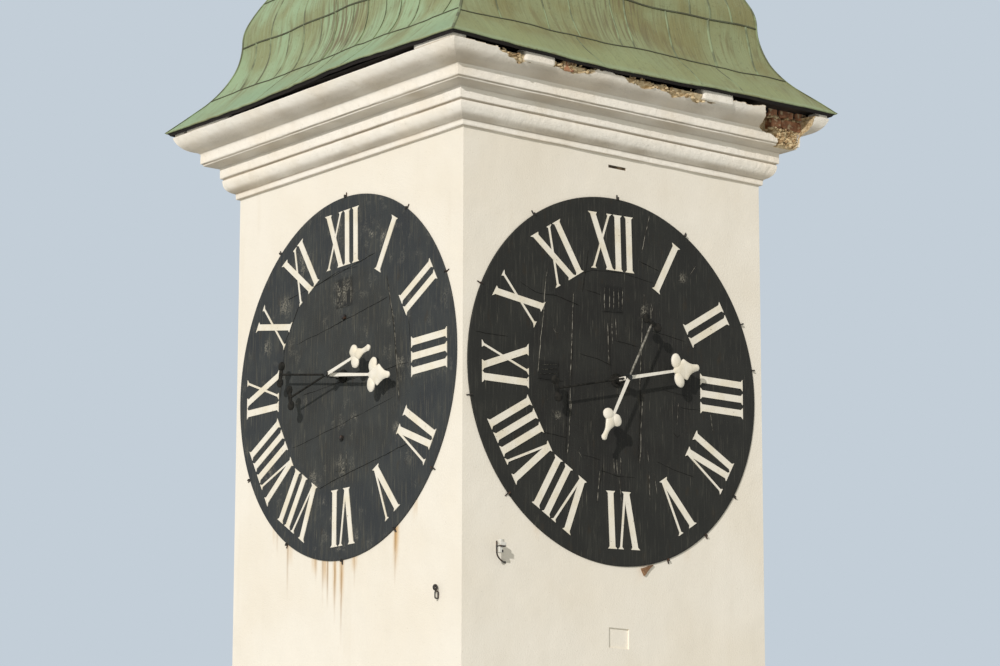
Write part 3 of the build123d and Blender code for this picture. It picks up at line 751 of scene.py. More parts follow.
# %% Bricks in the broken corner
COURSE, JOINT, BRICK_DEPTH = 0.078, 0.011, 0.11
BRICKS = [  # course below the top, along the wall: start, end; face's distance from the axis
    (0, 1.170, 1.250, 1.446), (0, 1.262, 1.398, 1.452), (0, 1.411, 1.506, 1.464), (0, 1.520, 1.575, 1.452),
    (1, 1.200, 1.284, 1.444), (1, 1.296, 1.470, 1.454), (0.66, -0.700, -0.606, 1.569)]
course, start, end, face = np.array(BRICKS).T
brick_sizes = np.stack([(end - start) / 2, np.full(len(BRICKS), BRICK_DEPTH / 2),
                        np.full(len(BRICKS), (COURSE - JOINT) / 2)], -1)
brick_centres = np.stack([(start + end) / 2, -face + BRICK_DEPTH / 2,
                          wall_top + 0.018 - COURSE * course], -1)
brick_points = lumps(brick_centres, brick_sizes, turn=[0.03, 0.05, -0.04, 0.1, 0.03, -0.05, 0.02],
                     square=0.20, stations=22, around=44, dent=0.07, seed=12)
piece("bared_bricks", brick_points, tube(brick_points), slot="moulded_plaster")

# %% Rubble where the plaster has crumbled
rng = np.random.default_rng(7)
RUBBLE_RUNS = [(-1.17, -1.03, 9), (-0.77, -0.50, 14), (-0.14, 0.44, 34)]
run_x = np.concatenate([rng.uniform(a, b, n) for a, b, n in RUBBLE_RUNS])
run_drop = np.interp(run_x, CRUMBLE[:, 0], CRUMBLE[:, 1]) * rng.uniform(0.15, 0.95, len(run_x))
run_centres = np.stack([run_x, -(CRUMBLE_CORE + rng.uniform(-0.004, 0.008, len(run_x))),
                        wall_top - run_drop], -1)
corner_x = rng.uniform(1.26, 1.44, 120)
corner_centres = np.stack([corner_x, -(1.418 + rng.uniform(-0.008, 0.016, 120)),
                           wall_top - rng.uniform(0.100, 0.206, 120)], -1)
mortar_x = rng.uniform(1.18, 1.50, 60)
mortar_centres = np.stack([mortar_x, -(1.430 + rng.uniform(-0.01, 0.016, 60)),
                           wall_top - rng.choice([0.021, 0.099], 60) + rng.uniform(-0.006, 0.006, 60)], -1)
stone_centres = np.concatenate([run_centres, corner_centres, mortar_centres])
stone_sizes = rng.uniform(0.006, 0.015, (len(stone_centres), 3)) * [1.5, 1.0, 0.7]
stone_points = lumps(stone_centres, stone_sizes, turn=rng.uniform(0, 3, len(stone_centres)),
                     lean=rng.uniform(-0.5, 0.5, len(stone_centres)), square=0.75,
                     stations=5, around=7, dent=0.25, seed=20)
piece("mortar_rubble", stone_points, tube(stone_points), slot="moulded_plaster", sharp=25)

# %% [markdown]
# The moulding carries the same lime wash as the walls, thicker and more pitted. Dirt gathers in its
# grooves, and the grooves and undersides are darkened further as painted shade. Where the plaster has
# gone, the raw mortar behind it is sandy, with browner and paler lumps and some brick dust.

# %% Plaster, brick and mortar
def moulded_plaster():
    """Run plaster under lime wash: warm white, pitted by frost, brown where dirt has gathered, and darker as
    painted shade in hollows and on undersides.
    """
    material, tree, shader = new_material("run plaster with lime wash", roughness=0.9, ior=1.45)
    place = add(tree, "TexCoord").outputs["Object"]
    gone = add(tree, "Attribute", attribute_name="gone").outputs["Fac"]
    dirt = add(tree, "Attribute", attribute_name="dirt").outputs["Fac"]
    warm = patches(tree, place, 0.55, 0.42, 0.66)
    grime = patches(tree, place, 0.14, 0.48, 0.72, stretch=(1, 1, 1.6), distortion=0.5)
    pits = patches(tree, place, 0.014, 0.62, 0.74, detail=3)
    colour = stain(tree, "#FBF5E9", warm, "#F8EFDF")
    colour = stain(tree, colour, grime, "#DDD0B8", strength=0.16)
    colour = stain(tree, colour, pits, "#C2B59C", strength=0.22)
    # The dirt value is real dirt in the grooves plus painted shade in hollows and on surfaces that face
    # down.
    colour = stain(tree, colour, dirt, "#8A7452", strength=0.72)
    sandy = stain(tree, "#DCC8A2", patches(tree, place, 0.03, 0.42, 0.66), "#B89E74")
    sandy = stain(tree, sandy, patches(tree, place, 0.012, 0.56, 0.68), "#EADBB8", strength=0.8)
    sandy = stain(tree, sandy, patches(tree, place, 0.07, 0.62, 0.70), "#B07A58", strength=0.45)
    colour = stain(tree, colour, gone, sandy)
    swell = patches(tree, place, 0.06, 0.3, 0.7, detail=2)
    sand = patches(tree, place, 0.008, 0.3, 0.7, detail=3)
    dress(tree, shader, colour, [(swell, 0.0022), (pits, -0.0010), (sand, 0.0012)])
    return material


def bare_brick():
    """Soft hand-made brick: orange red, burnt darker in places, with smears of mortar on its face."""
    burnt = ((0.05, 0.42, 0.62), {}, "#96694F", 1.0, 0.003)
    mortar = ((0.030, 0.54, 0.62), {"detail": 5}, "#DCC9A4", 0.80, None)
    grit = ((0.006, 0.4, 0.7), {"detail": 3}, None, None, 0.0015)
    return coat("soft red brick", "#C08A68", [burnt, mortar, grit], roughness=0.95, ior=1.45)


def lime_mortar():
    """Old lime mortar and broken stone: sandy and crumbling, pale with browner lumps."""
    brown = ((0.03, 0.42, 0.6), {}, "#AE9068", 1.0, None)
    grit = ((0.006, 0.4, 0.7), {"detail": 3}, None, None, 0.002)
    return coat("crumbled lime mortar", "#DEC9A0", [brown, grit], roughness=0.95, ior=1.45)


finish(moulded_plaster(), *all_sides("cornice_run"), "plaster_eave_blocks")
finish(bare_brick(), "bared_bricks")
finish(lime_mortar(), "mortar_rubble")

# %% [markdown]
# ## The copper roof
# The bell is boarded, and sheets of copper are laid over the boards. Their joints show as five
# level seams and as upright welts, where two edges are folded over each other and beaten down.
# The outline repeats the CAD's arcs. Thin sheet is never flat: it dimples between its nails and
# waves along the eave, so noise moves the surface by a few millimetres along its own normal.

# %% Outline of the bell
FLARE = (0.630, math.radians(47))      # radius, lean of the straight stretch above the eave
SHOULDER = (0.350, math.radians(24))   # radius, lean at the arc's upper end
DOME = (1.500, math.radians(62))
OGEE = (0.600, math.radians(6))
EAVE_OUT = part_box("right_roof")[1].x - half
SHEET = 0.003
ARC_POINTS = 40
ROOF_GRID = {  # rows up the sheet, columns along it
    "front": (120, 190), "left": (120, 190), "right": (80, 120), "back": (80, 120)}


def bell_outline(rows):
    """Distance from the axis, height and length along the sheet, at equal steps up the bell.

    Along an arc whose lean goes from a to b, a point moves in by r |cos b - cos a| and up by
    r |sin b - sin a|.
    """
    radius, lean = FLARE
    shoulder_z = (eave_level + radius * math.sin(lean)
                  + (EAVE_OUT - radius * (1 - math.cos(lean))) / math.tan(lean))
    sweep = np.linspace(lean, 0, ARC_POINTS)
    line = [[(half + EAVE_OUT, eave_level)],
            np.stack([half + radius * (1 - np.cos(sweep)), shoulder_z - radius * np.sin(sweep)], -1)]
    d, z, a = half, shoulder_z, 0.0
    for radius, b in (SHOULDER, DOME, OGEE):
        sweep = np.linspace(a, b, ARC_POINTS)[1:]
        line.append(np.stack([d - radius * np.abs(np.cos(sweep) - math.cos(a)),
                              z + radius * np.abs(np.sin(sweep) - math.sin(a))], -1))
        d, z = line[-1][-1]
        a = b
    line = np.concatenate(line)
    length = np.linspace(0, run_length(line)[-1], rows)
    d, z = points_at(length, line).T
    return d, z, length


outline_d, outline_z, outline_s = bell_outline(1200)
print("sheet length up the bell", round(outline_s[-1], 3), "neck", round(outline_z[-1], 3))


# %% Surface of the copper
def reach_at(length):
    """Distance of the outline from the axis, and half the sheet's width, at a length up the sheet."""
    return np.interp(length, outline_s, outline_d)


def height_at(length):
    """Height of the outline at a length up the sheet."""
    return np.interp(length, outline_s, outline_z)


def eave_wave(side, across):
    """How far the copper's lower edge stands above (+) or below (-) its nominal level."""
    if side in ("front", "back"):
        wave = -0.030 * hump(across, -0.35, 0.95) + 0.004 * hump(across, 0.60, 0.25)
    else:
        wave = 0.026 * hump(across, 0.55, 0.65) - 0.010 * hump(across, -0.9, 0.4)
    return wave * (1 - (across / (half + EAVE_OUT)) ** 8)


def copper_surface(side, t, length, lift=0.0):
    """Points of the copper's face on one side, at places t from -1 to 1 and a length up the sheet.

    A point of the outline (d, z) stands at (t d, -d, z). It moves along the outline's normal by
    dimples between the nails, by upright buckles and by the lift asked for, and it moves up or
    down with the eave's wave, which dies out as e^(-length / 0.16) above the eave.
    """
    t, length, lift = np.broadcast_arrays(np.asarray(t, float), length, lift)
    d, z = reach_at(length), height_at(length)
    step = 0.004
    run_d = reach_at(length + step) - reach_at(length - step)
    run_z = height_at(length + step) - height_at(length - step)
    size = np.hypot(run_d, run_z)
    normal_d, normal_z = run_z / size, -run_d / size
    place = turned(np.stack([t * d, -d, z], -1), side)
    dimple = 0.0045 * noise(place, 0.30, 30) + 0.0020 * noise(place, 0.12, 31)
    sheet = np.stack([t * d, length, np.zeros_like(d) + SIDES.index(side)], -1)
    buckle = 0.0022 * noise(sheet * [1, 0.25, 1], 0.075, 32) * (1 - t ** 8)
    out = lift + dimple + buckle
    fall = np.exp(-length / 0.16)
    level = z + out * normal_z + eave_wave(side, t * d) * fall
    d_now = d + out * normal_d
    return turned(np.stack([t * d_now, -d_now, level], -1), side)


# %% Four faces of sheet
def copper_face(side):
    """Closed sheet: the face, a second face behind it, and the sheet's coordinates for its finish."""
    rows, columns = ROOF_GRID[side]
    t = np.concatenate([[-1], np.linspace(-0.996, 0.996, columns), [1]])[None, :]
    length = np.linspace(0, outline_s[-1], rows)[:, None]
    points, faces = shell(copper_surface(side, t, length), copper_surface(side, t, length, -SHEET))
    sheet = np.stack(np.broadcast_arrays(t * reach_at(length), length, float(SIDES.index(side))), -1)
    values = {"sheet": np.concatenate([sheet.reshape(-1, 3)] * 2)}
    piece(f"{side}_copper", points, faces, slot="copper_sheet", replaces=[f"{side}_roof"],
          values=values, sharp=35)


for side in SIDES:
    copper_face(side)

# %% Boards under the sheet
BOARD = 0.025
BOARD_GAP = 0.008


def board_face(side):
    """Closed layer of boards that follows the sheet's waves a few millimetres behind it."""
    t = np.linspace(-1, 1, 30)[None, :]
    length = np.linspace(0.004, outline_s[-1], 40)[:, None]
    return shell(copper_surface(side, t, length, -BOARD_GAP),
                 copper_surface(side, t, length, -BOARD_GAP - BOARD))


piece("bell_boards", *joined([board_face(side) for side in SIDES]), slot="roof_timber",
      replaces=["roof_boarding"])
finish(roof_wood_dark_as_shade, "bell_boards")

# %% [markdown]
# A seam or a welt is a narrow strip that rises to a fold and falls away on the other side. Its
# section is carried along a line on the copper. Level seams run the width of the face and sag a
# little between nails. Welts run up between two seams and lean, as sheets on a curved roof do.

# %% Seams and welts
SEAM_WIDTH, SEAM_RISE = 0.014, 0.0060
WELT_WIDTH, WELT_RISE = 0.011, 0.0062
UPPER_RISE, LOWEST_RISE = 0.8 * WELT_RISE, 0.45 * WELT_RISE
HIP_WIDTH, HIP_RISE = 0.016, 0.007
SEAM_LENGTHS = (0.318, 0.722, 1.065, 1.50, 1.95)   # up the sheet from the eave


def strip_loops(side, t_line, length_line, width, rise, level):
    """Loops of a folded strip: a low half-round section across a line on the copper.

    For a level strip the section spreads up and down the sheet, otherwise along the wall.
    """
    w = np.array([-1, -0.95, -0.5, 0.1, 0.75, 0.95, 1, 0.5, -0.5])[None]
    h = np.array([-0.6, 0.25, 0.7, 1.0, 0.9, 0.2, -0.6, -1.2, -1.2])[None]
    t_line, length_line = np.asarray(t_line)[:, None], np.asarray(length_line)[:, None]
    if level:
        return copper_surface(side, t_line + 0 * w, length_line - w * width / 2, h * rise)
    shift = w * width / 2 / reach_at(length_line)
    return copper_surface(side, t_line + shift, length_line + 0 * w, h * rise)


# %% One seam and one welt
def seam_height(side, number, across):
    """Length up the sheet of a level seam: a slow rise and a sag between fixings."""
    slope = {"front": 0.011, "right": 0.006, "back": -0.008, "left": 0.004}[side]
    sag = 0.006 * np.sin(across * 5.1 + number * 2.3) + 0.004 * np.sin(across * 11.7 + number)
    return SEAM_LENGTHS[number] + slope * across + sag


def level_seam(side, number):
    """One seam across the whole face."""
    t = np.linspace(-0.993, 0.993, 110)
    across = t * reach_at(SEAM_LENGTHS[number])
    return strip_loops(side, t, seam_height(side, number, across), SEAM_WIDTH, SEAM_RISE, True)


def welt(side, lower, upper, across_low, across_high, bow=0.0, rise=WELT_RISE):
    """One upright welt from a lower to an upper seam, bowed sideways by a half wave."""
    s = np.linspace(0, 1, 24)
    start = 0.002 if lower < 0 else seam_height(side, lower, across_low)
    end = seam_height(side, upper, across_high)
    length = start + (end - start) * s
    across = across_low + (across_high - across_low) * s + bow * np.sin(np.pi * s)
    across = across + 0.004 * np.sin(17 * length + 9 * across_low)
    return strip_loops(side, across / reach_at(length), length, WELT_WIDTH, rise, False)


# %% Where the welts run
BETWEEN_FIRST_SEAMS = {  # across at the first seam, across at the second, rise against the usual
    "front": [(-1.070, -1.020, 1.0), (-0.670, -0.640, 1.0), (-0.420, -0.425, 0.6), (-0.060, -0.060, 0.6),
              (0.045, 0.065, 1.0), (0.410, 0.430, 0.9), (0.760, 0.800, 1.3), (1.130, 1.150, 0.9)],
    "left": [(-1.050, -1.080, 1.2), (-0.870, -0.900, 1.0), (-0.660, -0.680, 0.7), (-0.440, -0.520, 1.1),
             (-0.260, -0.320, 0.6), (-0.090, -0.150, 1.4), (0.100, 0.060, 0.6), (0.270, 0.215, 1.2),
             (0.470, 0.420, 1.0), (0.640, 0.580, 1.1), (0.850, 0.790, 0.8), (1.210, 1.180, 1.0)]}
ABOVE_SECOND_SEAM = {  # across at the second seam, across at the third
    "front": [(-0.90, -0.86), (-0.42, -0.40), (0.10, 0.09), (0.65, 0.62), (0.82, 0.80), (1.02, 0.97)],
    "left": [(-0.895, -0.87), (-0.52, -0.50), (-0.15, -0.13), (0.215, 0.20), (0.58, 0.55), (0.95, 0.90)]}
BELOW_FIRST_SEAM = {  # across at the eave, across at the first seam, bow
    "front": [(-0.40, -0.47, -0.02), (0.43, 0.40, 0.02), (0.79, 0.74, 0.02)],
    "left": [(-0.20, -0.09, 0.03), (0.0, 0.06, 0.02), (0.42, 0.47, 0.02), (-0.56, -0.44, -0.02)]}
EVEN_SHARES = (-0.66, -0.3, 0.05, 0.4, 0.75)   # places of the welts above the third seam
LIKE = {"front": "front", "back": "front", "left": "left", "right": "left"}   # which side each repeats


# %% All the folds of a side
def folded_strips(side):
    """All the seams and welts of one side as one mesh."""
    like = LIKE[side]
    solids = [level_seam(side, number) for number in range(len(SEAM_LENGTHS))]
    for low, high, strong in BETWEEN_FIRST_SEAMS[like]:
        solids.append(welt(side, 0, 1, low, high, bow=0.012, rise=WELT_RISE * strong))
    for low, high in ABOVE_SECOND_SEAM[like]:
        solids.append(welt(side, 1, 2, low, high, rise=UPPER_RISE))
    for number in (2, 3):
        low, high = (reach_at(SEAM_LENGTHS[k]) for k in (number, number + 1))
        for share in EVEN_SHARES:
            solids.append(welt(side, number, number + 1, share * low, share * high, rise=UPPER_RISE))
    for low, high, bow in BELOW_FIRST_SEAM[like]:
        solids.append(welt(side, -1, 0, low, high, bow=bow, rise=LOWEST_RISE))
    points, faces = joined([(loops, tube(loops)) for loops in solids])
    level = np.concatenate([np.full(loops.shape[0] * loops.shape[1], float(k < len(SEAM_LENGTHS)))
                            for k, loops in enumerate(solids)])
    piece(f"{side}_copper_seams", points, faces, slot="copper_sheet", values={"level": level}, sharp=60)


for side in SIDES:
    folded_strips(side)

# %% Hips and rolled eave
BEAD_RADIUS = 0.0055


def hip_roll(side):
    """Fold that covers the joint with the next side, along the mitre t = 1."""
    length = np.linspace(0.0, outline_s[-1], 110)[:, None]
    angle = circle(8)[None]
    middle = copper_surface(side, np.ones_like(length), length, 0.001)
    sideways = turned(np.array([1, 1, 0]) / math.sqrt(2), side)
    outward = turned(np.array([1, -1, 0]) / math.sqrt(2), side)
    return middle + (HIP_WIDTH / 2 * np.cos(angle)[..., None] * sideways
                     + HIP_RISE * np.sin(angle)[..., None] * outward)


def rolled_eave(side):
    """Bead where the sheet's lower edge is turned under: a small round section along the edge."""
    t = np.linspace(-0.999, 0.999, 180)[:, None]
    angle = circle(8)[None]
    middle = copper_surface(side, t, np.zeros_like(t))
    inward, down = turned(np.array([0, 1.0, 0]), side), np.array([0, 0, -1.0])
    return middle + BEAD_RADIUS * ((np.cos(angle)[..., None] + 0.6) * inward
                                   + np.sin(angle)[..., None] * down)


for name, fold in (("copper_hip_rolls", hip_roll), ("copper_rolled_eave", rolled_eave)):
    loops = np.stack([fold(side) for side in SIDES])
    piece(name, loops, tube(loops), slot="copper_sheet")

# %% [markdown]
# Rain and air turn copper brown and then green. On the left and right of this roof the green is
# pale, and bluish on the band above the eave, which stays wet longest. On the front and back it is
# olive. Brown oxide shows through in streaks that follow the water's fall. The finish reads the
# sheet's own coordinates: across, and length up from the eave. Each level seam holds a dark line of
# dirt in its fold.

# %% Patina
def patina(name, on_sheet, green, olive, pale, brown_strength, damp="#8FAA88"):
    """Green patina: a matt crust over metal, so it reflects like chalk with a faint sheen."""
    material, tree, shader = new_material(name, roughness=0.68, ior=1.5)
    place = add(tree, "TexCoord").outputs["Object"]
    sheet = add(tree, "Attribute", attribute_name="sheet").outputs["Vector"] if on_sheet else place
    fall = (1, 9, 1) if on_sheet else (1, 1, 6)
    cloud = patches(tree, place, 0.40, 0.40, 0.64)
    where = patches(tree, place, 0.26, 0.42, 0.62, detail=2)
    streak = patches(tree, sheet, 0.040, 0.46, 0.66, stretch=fall, detail=5, distortion=0.3)
    fine = patches(tree, sheet, 0.013, 0.46, 0.74, stretch=fall, detail=3)
    worn = add(tree, "Math", {0: streak, 1: where}, operation="MULTIPLY")
    speck = patches(tree, place, 0.022, 0.60, 0.68, detail=4)
    colour = stain(tree, green, cloud, olive)
    colour = stain(tree, colour, streak, olive, strength=0.35)
    colour = stain(tree, colour, worn, "#736B4B", strength=0.55)
    colour = stain(tree, colour, fine, pale, strength=0.30)
    if on_sheet:
        split = add(tree, "SeparateXYZ", {0: sheet})
        middle = add(tree, "Math", {0: split.outputs[0]}, operation="ABSOLUTE")
        central = add(tree, "MapRange", {0: middle, 1: 0.60, 2: 0.0}, interpolation_type="SMOOTHSTEP")
        brown = patches(tree, sheet, 0.022, 0.46, 0.60, stretch=(1, 14, 1), detail=4)
        brown = add(tree, "Math", {0: brown, 1: central}, operation="MULTIPLY")
        above = add(tree, "MapRange", {0: split.outputs[1], 1: 0.25, 2: 0.42})
        brown = add(tree, "Math", {0: brown, 1: above}, operation="MULTIPLY")
        colour = stain(tree, colour, brown, "#6B5C42", strength=brown_strength)
        low = add(tree, "MapRange", {0: split.outputs[1], 1: 0.36, 2: 0.10}, interpolation_type="SMOOTHSTEP")
        mint = patches(tree, place, 0.55, 0.30, 0.62, detail=2)
        wet = add(tree, "Math", {0: low, 1: mint}, operation="MULTIPLY")
        colour = stain(tree, colour, wet, damp, strength=0.75)
        drip = add(tree, "MapRange", {0: split.outputs[1], 1: 0.050, 2: 0.020})
        colour = stain(tree, colour, drip, "#9DB291", strength=0.35)
    colour = stain(tree, colour, speck, "#6E6F50", strength=0.35)
    dress(tree, shader, colour, [(cloud, 0.003), (streak, 0.0012), (speck, 0.0006)])
    return material


# %% Folded edges
def seam_patina():
    """Folded edges: level seams hold dark oxide, upright welts are green with a dark foot in places."""
    material, tree, shader = new_material("copper fold with dark oxide", roughness=0.7, ior=1.5)
    place = add(tree, "TexCoord").outputs["Object"]
    level = add(tree, "Attribute", attribute_name="level").outputs["Fac"]
    dark = patches(tree, place, 0.10, 0.40, 0.60, stretch=(1, 1, 1.5))
    colour = stain(tree, "#879470", dark, "#565640", strength=0.8)
    colour = stain(tree, colour, level, "#45442F", strength=0.85)
    dress(tree, shader, colour, [(dark, 0.0012)])
    return material


olive_patina = patina("olive patina on sheet copper", True, "#909870", "#858257", "#9DA67E", 0.60, "#949D70")
mint_patina = patina("pale green patina on sheet copper", True, "#98AE88", "#8C9168", "#ADC09E", 0.80)
cast_patina = patina("green patina on the finial", False, "#93A27B", "#8B8F66", "#A9B68E", 0.0)
finish(olive_patina, "front_copper", "back_copper")
finish(mint_patina, "left_copper", "right_copper")
finish(cast_patina, "finial_base", "finial_ball", "finial_spike", "copper_rolled_eave")
finish(seam_patina(), *all_sides("copper_seams"), "copper_hip_rolls")

# %% [markdown]
# ## The dials
# Each dial is made of sheets of iron nailed over boards and painted matt black again and again. The
# sheets lap over each other in low steps, and their edges hold black dirt; the same dark lines also
# carry the laps' shadows as painted shadow. Where paint has rubbed off an edge or a scratch, a thin
# line of grey priming shows, and along some sheet edges the same pale line is a painted highlight.
# A smaller, older ring of numerals shows through the paint too, as dark plates with grey edges. All
# of these lines are only a few millimetres wide, so each is its own thin ridge; the face under them
# is a grid of rings and spokes that carries the buckles of the sheets.

# %% Lines on the two kinds of dial, in metres from the dial's middle
LAPS = {
    "front": [
        [(-1.152, 0.177), (-0.879, 0.176)],
        [(-0.788, 0.539), (-0.654, 0.488), (-0.488, 0.486), (-0.299, 0.450)],
        [(-0.256, 0.559), (-0.108, 0.543)], [(-0.311, 0.137), (-0.153, 0.123), (-0.025, 0.089)],
        [(-0.013, 0.261), (0.201, 0.243)], [(0.206, 0.812), (0.380, 0.766)],
        [(0.300, 0.365), (0.596, 0.326)], [(-0.613, -0.399), (-0.396, -0.419)],
        [(-0.292, -0.511), (-0.124, -0.534)], [(-0.135, -0.593), (0.013, -0.619), (0.173, -0.619)],
        [(0.335, -0.486), (0.498, -0.536), (0.662, -0.561)], [(0.535, -0.112), (0.712, -0.117)],
        [(0.384, -0.012), (0.613, -0.036)], [(-0.654, -0.062), (-0.426, -0.059)],
        [(-0.362, 0.637), (-0.192, 0.699), (0.065, 0.713), (0.325, 0.681)],
        [(-0.223, 0.840), (-0.278, 0.540)], [(-0.114, -0.550), (-0.140, -0.700)],
        [(-0.056, 0.369), (-0.047, 0.070)], [(-0.363, 0.229), (-0.368, -0.052)],
        [(0.216, 0.190), (0.184, -0.518)], [(-0.405, -0.10), (-0.420, -0.53)],
        [(0.479, -0.287), (0.516, -0.316), (0.538, -0.297)], [(-0.117, 0.434), (0.067, 0.452)],
        [(-0.019, -0.622), (0.066, -0.618)], [(-0.474, 0.083), (-0.468, -0.064)]],
    "left": [
        [(-0.650, 0.616), (-0.313, 0.659), (0.339, 0.760)],
        [(-0.554, 0.289), (-0.077, 0.358), (0.496, 0.448)],
        [(-0.457, -0.059), (-0.012, -0.032), (0.706, -0.016)],
        [(-0.581, -0.400), (-0.007, -0.310), (0.546, -0.214)],
        [(-0.269, -0.702), (0.222, -0.615), (0.712, -0.532)],
        [(0.458, 0.596), (0.539, 0.266), (0.606, -0.256)],
        [(-0.516, 0.559), (-0.673, 0.325), (-0.723, -0.046)],
        [(-0.299, 0.660), (-0.083, 0.708), (0.144, 0.705)], [(0.702, 0.272), (0.738, 0.003)]]}
PRIMING_AND_HIGHLIGHT_LINES = {
    "front": [
        [(-0.560, 0.684), (-0.609, 0.297), (-0.644, -0.036)], [(-0.371, -0.168), (-0.407, -0.532)],
        [(0.290, 1.128), (0.222, 0.871)], [(0.224, -0.082), (0.192, -0.518)],
        [(0.525, -0.080), (0.512, -0.233)], [(0.260, -0.427), (0.270, -0.509)],
        [(0.691, 0.852), (0.634, 0.775)], [(-0.097, 0.595), (-0.091, 0.445)],
        [(-0.054, 0.600), (-0.053, 0.450)], [(-0.016, 0.606), (-0.014, 0.455)],
        [(0.025, 0.611), (0.024, 0.460)], [(0.058, 0.612), (0.054, 0.464)],
        [(-0.023, -0.507), (-0.017, -0.605)], [(0.005, -0.504), (0.006, -0.611)],
        [(0.033, -0.498), (0.030, -0.601)], [(-0.634, 0.028), (-0.478, 0.043)],
        [(-0.638, -0.002), (-0.478, 0.014)], [(-0.638, -0.030), (-0.478, -0.013)],
        [(-0.519, 0.284), (-0.499, 0.250), (-0.467, 0.249)],
        [(0.236, 0.525), (0.253, 0.477), (0.240, 0.433)],
        [(0.297, 0.550), (0.312, 0.510), (0.297, 0.466)],
        [(0.568, 0.783), (0.590, 0.752), (0.572, 0.727)],
        [(-0.292, -0.462), (-0.313, -0.497), (-0.286, -0.532)],
        [(-0.526, -0.275), (-0.479, -0.254), (-0.464, -0.285), (-0.500, -0.316)],
        [(-0.354, 0.531), (-0.373, 0.115), (-0.386, -0.282)],
        [(0.239, 0.597), (0.213, 0.281), (0.200, -0.046)], [(-0.037, 0.435), (-0.028, 0.235)],
        [(-0.002, 0.409), (0.011, 0.256)], [(-0.071, 0.369), (-0.059, 0.101)],
        [(0.299, 0.534), (0.298, 0.417)], [(0.275, -0.568), (0.279, -0.759)],
        [(0.315, -0.572), (0.339, -0.707)], [(0.021, -0.625), (0.042, -0.798)],
        [(0.804, -0.131), (0.821, -0.239)], [(-0.135, -0.603), (-0.162, -0.817)]],
    "left": [
        [(-0.068, 0.646), (-0.073, 0.485)], [(-0.025, 0.638), (-0.022, 0.476)],
        [(0.018, 0.636), (0.021, 0.472)], [(0.069, 0.630), (0.072, 0.464)],
        [(-0.093, 0.463), (0.078, 0.460)], [(-0.018, -0.492), (-0.021, -0.600)],
        [(0.039, -0.494), (0.041, -0.608)], [(-0.080, -0.617), (0.061, -0.618)],
        [(0.464, 0.596), (0.545, 0.266), (0.612, -0.256)]]}
OLD_PLATES = {  # one corner, then the corner across from it
    "front": [(-0.095, 0.435, 0.065, 0.615), (-0.640, -0.075, -0.475, 0.060)],
    "left": [(-0.09, 0.46, 0.09, 0.65)]}
SCUFFS = {  # middle and reach of the places where the paint has flaked
    "front": [(0.24, 0.48, 0.04), (0.57, 0.75, 0.03), (-0.49, -0.28, 0.03)],
    "left": [
        (0.309, 0.909, 0.05), (0.421, 0.863, 0.04), (-0.089, 1.017, 0.05), (-0.086, 0.828, 0.06),
        (-0.478, 0.829, 0.08), (-0.679, 0.569, 0.06), (-0.897, 0.326, 0.05), (-0.430, -0.606, 0.05),
        (-0.648, -0.663, 0.04), (-0.844, -0.528, 0.04), (-0.224, -0.816, 0.04), (0.543, -0.016, 0.04),
        (0.611, -0.002, 0.04), (0.119, -0.294, 0.03), (0.576, -0.415, 0.03), (0.174, -1.053, 0.03),
        (-0.019, -1.138, 0.04), (-0.137, -0.918, 0.03), (-0.328, -0.644, 0.06), (-0.02, 0.56, 0.09),
        (0.0, -0.60, 0.07)]}
RING_JOINT = 0.712   # where the sheets of the rim meet those of the middle
PLATE_EDGE = 0.008
DIAL_GRID = {  # rings, spokes
    "front": (105, 360), "left": (105, 360), "right": (50, 200), "back": (50, 200)}
MOST_BUCKLE = 0.0024
RIM_ROUND = 0.004     # how far the soft rim reaches in over the face and down the edge
UNDER_FLANGE = 0.8    # the sheets' inner edge, as a share of the radius of the flange over it


# %% Painted face of a dial
def dial_face(like, x, y):
    """Height of the painted sheets over their even level, and shares of scuff, old plate and core.

    Buckles are noise. A scuff is flecked noise inside a soft disc: e^(-(distance / reach)^2).
    """
    flat = np.stack([x, y, np.full_like(x, 0.37 if like == "front" else 3.1)], -1)
    height = 0.0012 * noise(flat, 0.24, 52) + 0.0006 * noise(flat, 0.08, 53)
    scuff = 0.25 * smooth(0.55, 0.8, rough(flat, 0.10, 57)) * (like == "left")
    for x0, y0, reach in SCUFFS[like]:
        scuff = np.maximum(scuff, np.exp(-((x - x0) ** 2 + (y - y0) ** 2) / reach ** 2))
    scuff = scuff * smooth(-0.15, 0.35, rough(flat * [1, 0.6, 1], 0.028, 56))
    old = np.zeros_like(x)
    for x0, y0, x1, y1 in OLD_PLATES[like]:
        from_edge = np.minimum(np.minimum(x - x0, x1 - x), np.minimum(y - y0, y1 - y))
        old = np.maximum(old, smooth(-PLATE_EDGE, PLATE_EDGE, from_edge))
    core = smooth(RING_JOINT + 0.07, RING_JOINT - 0.07, np.hypot(x, y) + 0.06 * noise(flat, 0.2, 58))
    return height, scuff, old, core


def ring_quads(rows, columns):
    """Quads of a grid that closes on itself both ways, as on a ring's skin."""
    number = np.arange(rows * columns).reshape(rows, columns)
    right, down = np.roll(number, -1, axis=1), np.roll(number, -1, axis=0)
    return np.stack([number, right, np.roll(right, -1, axis=0), down], -1).reshape(-1, 4)


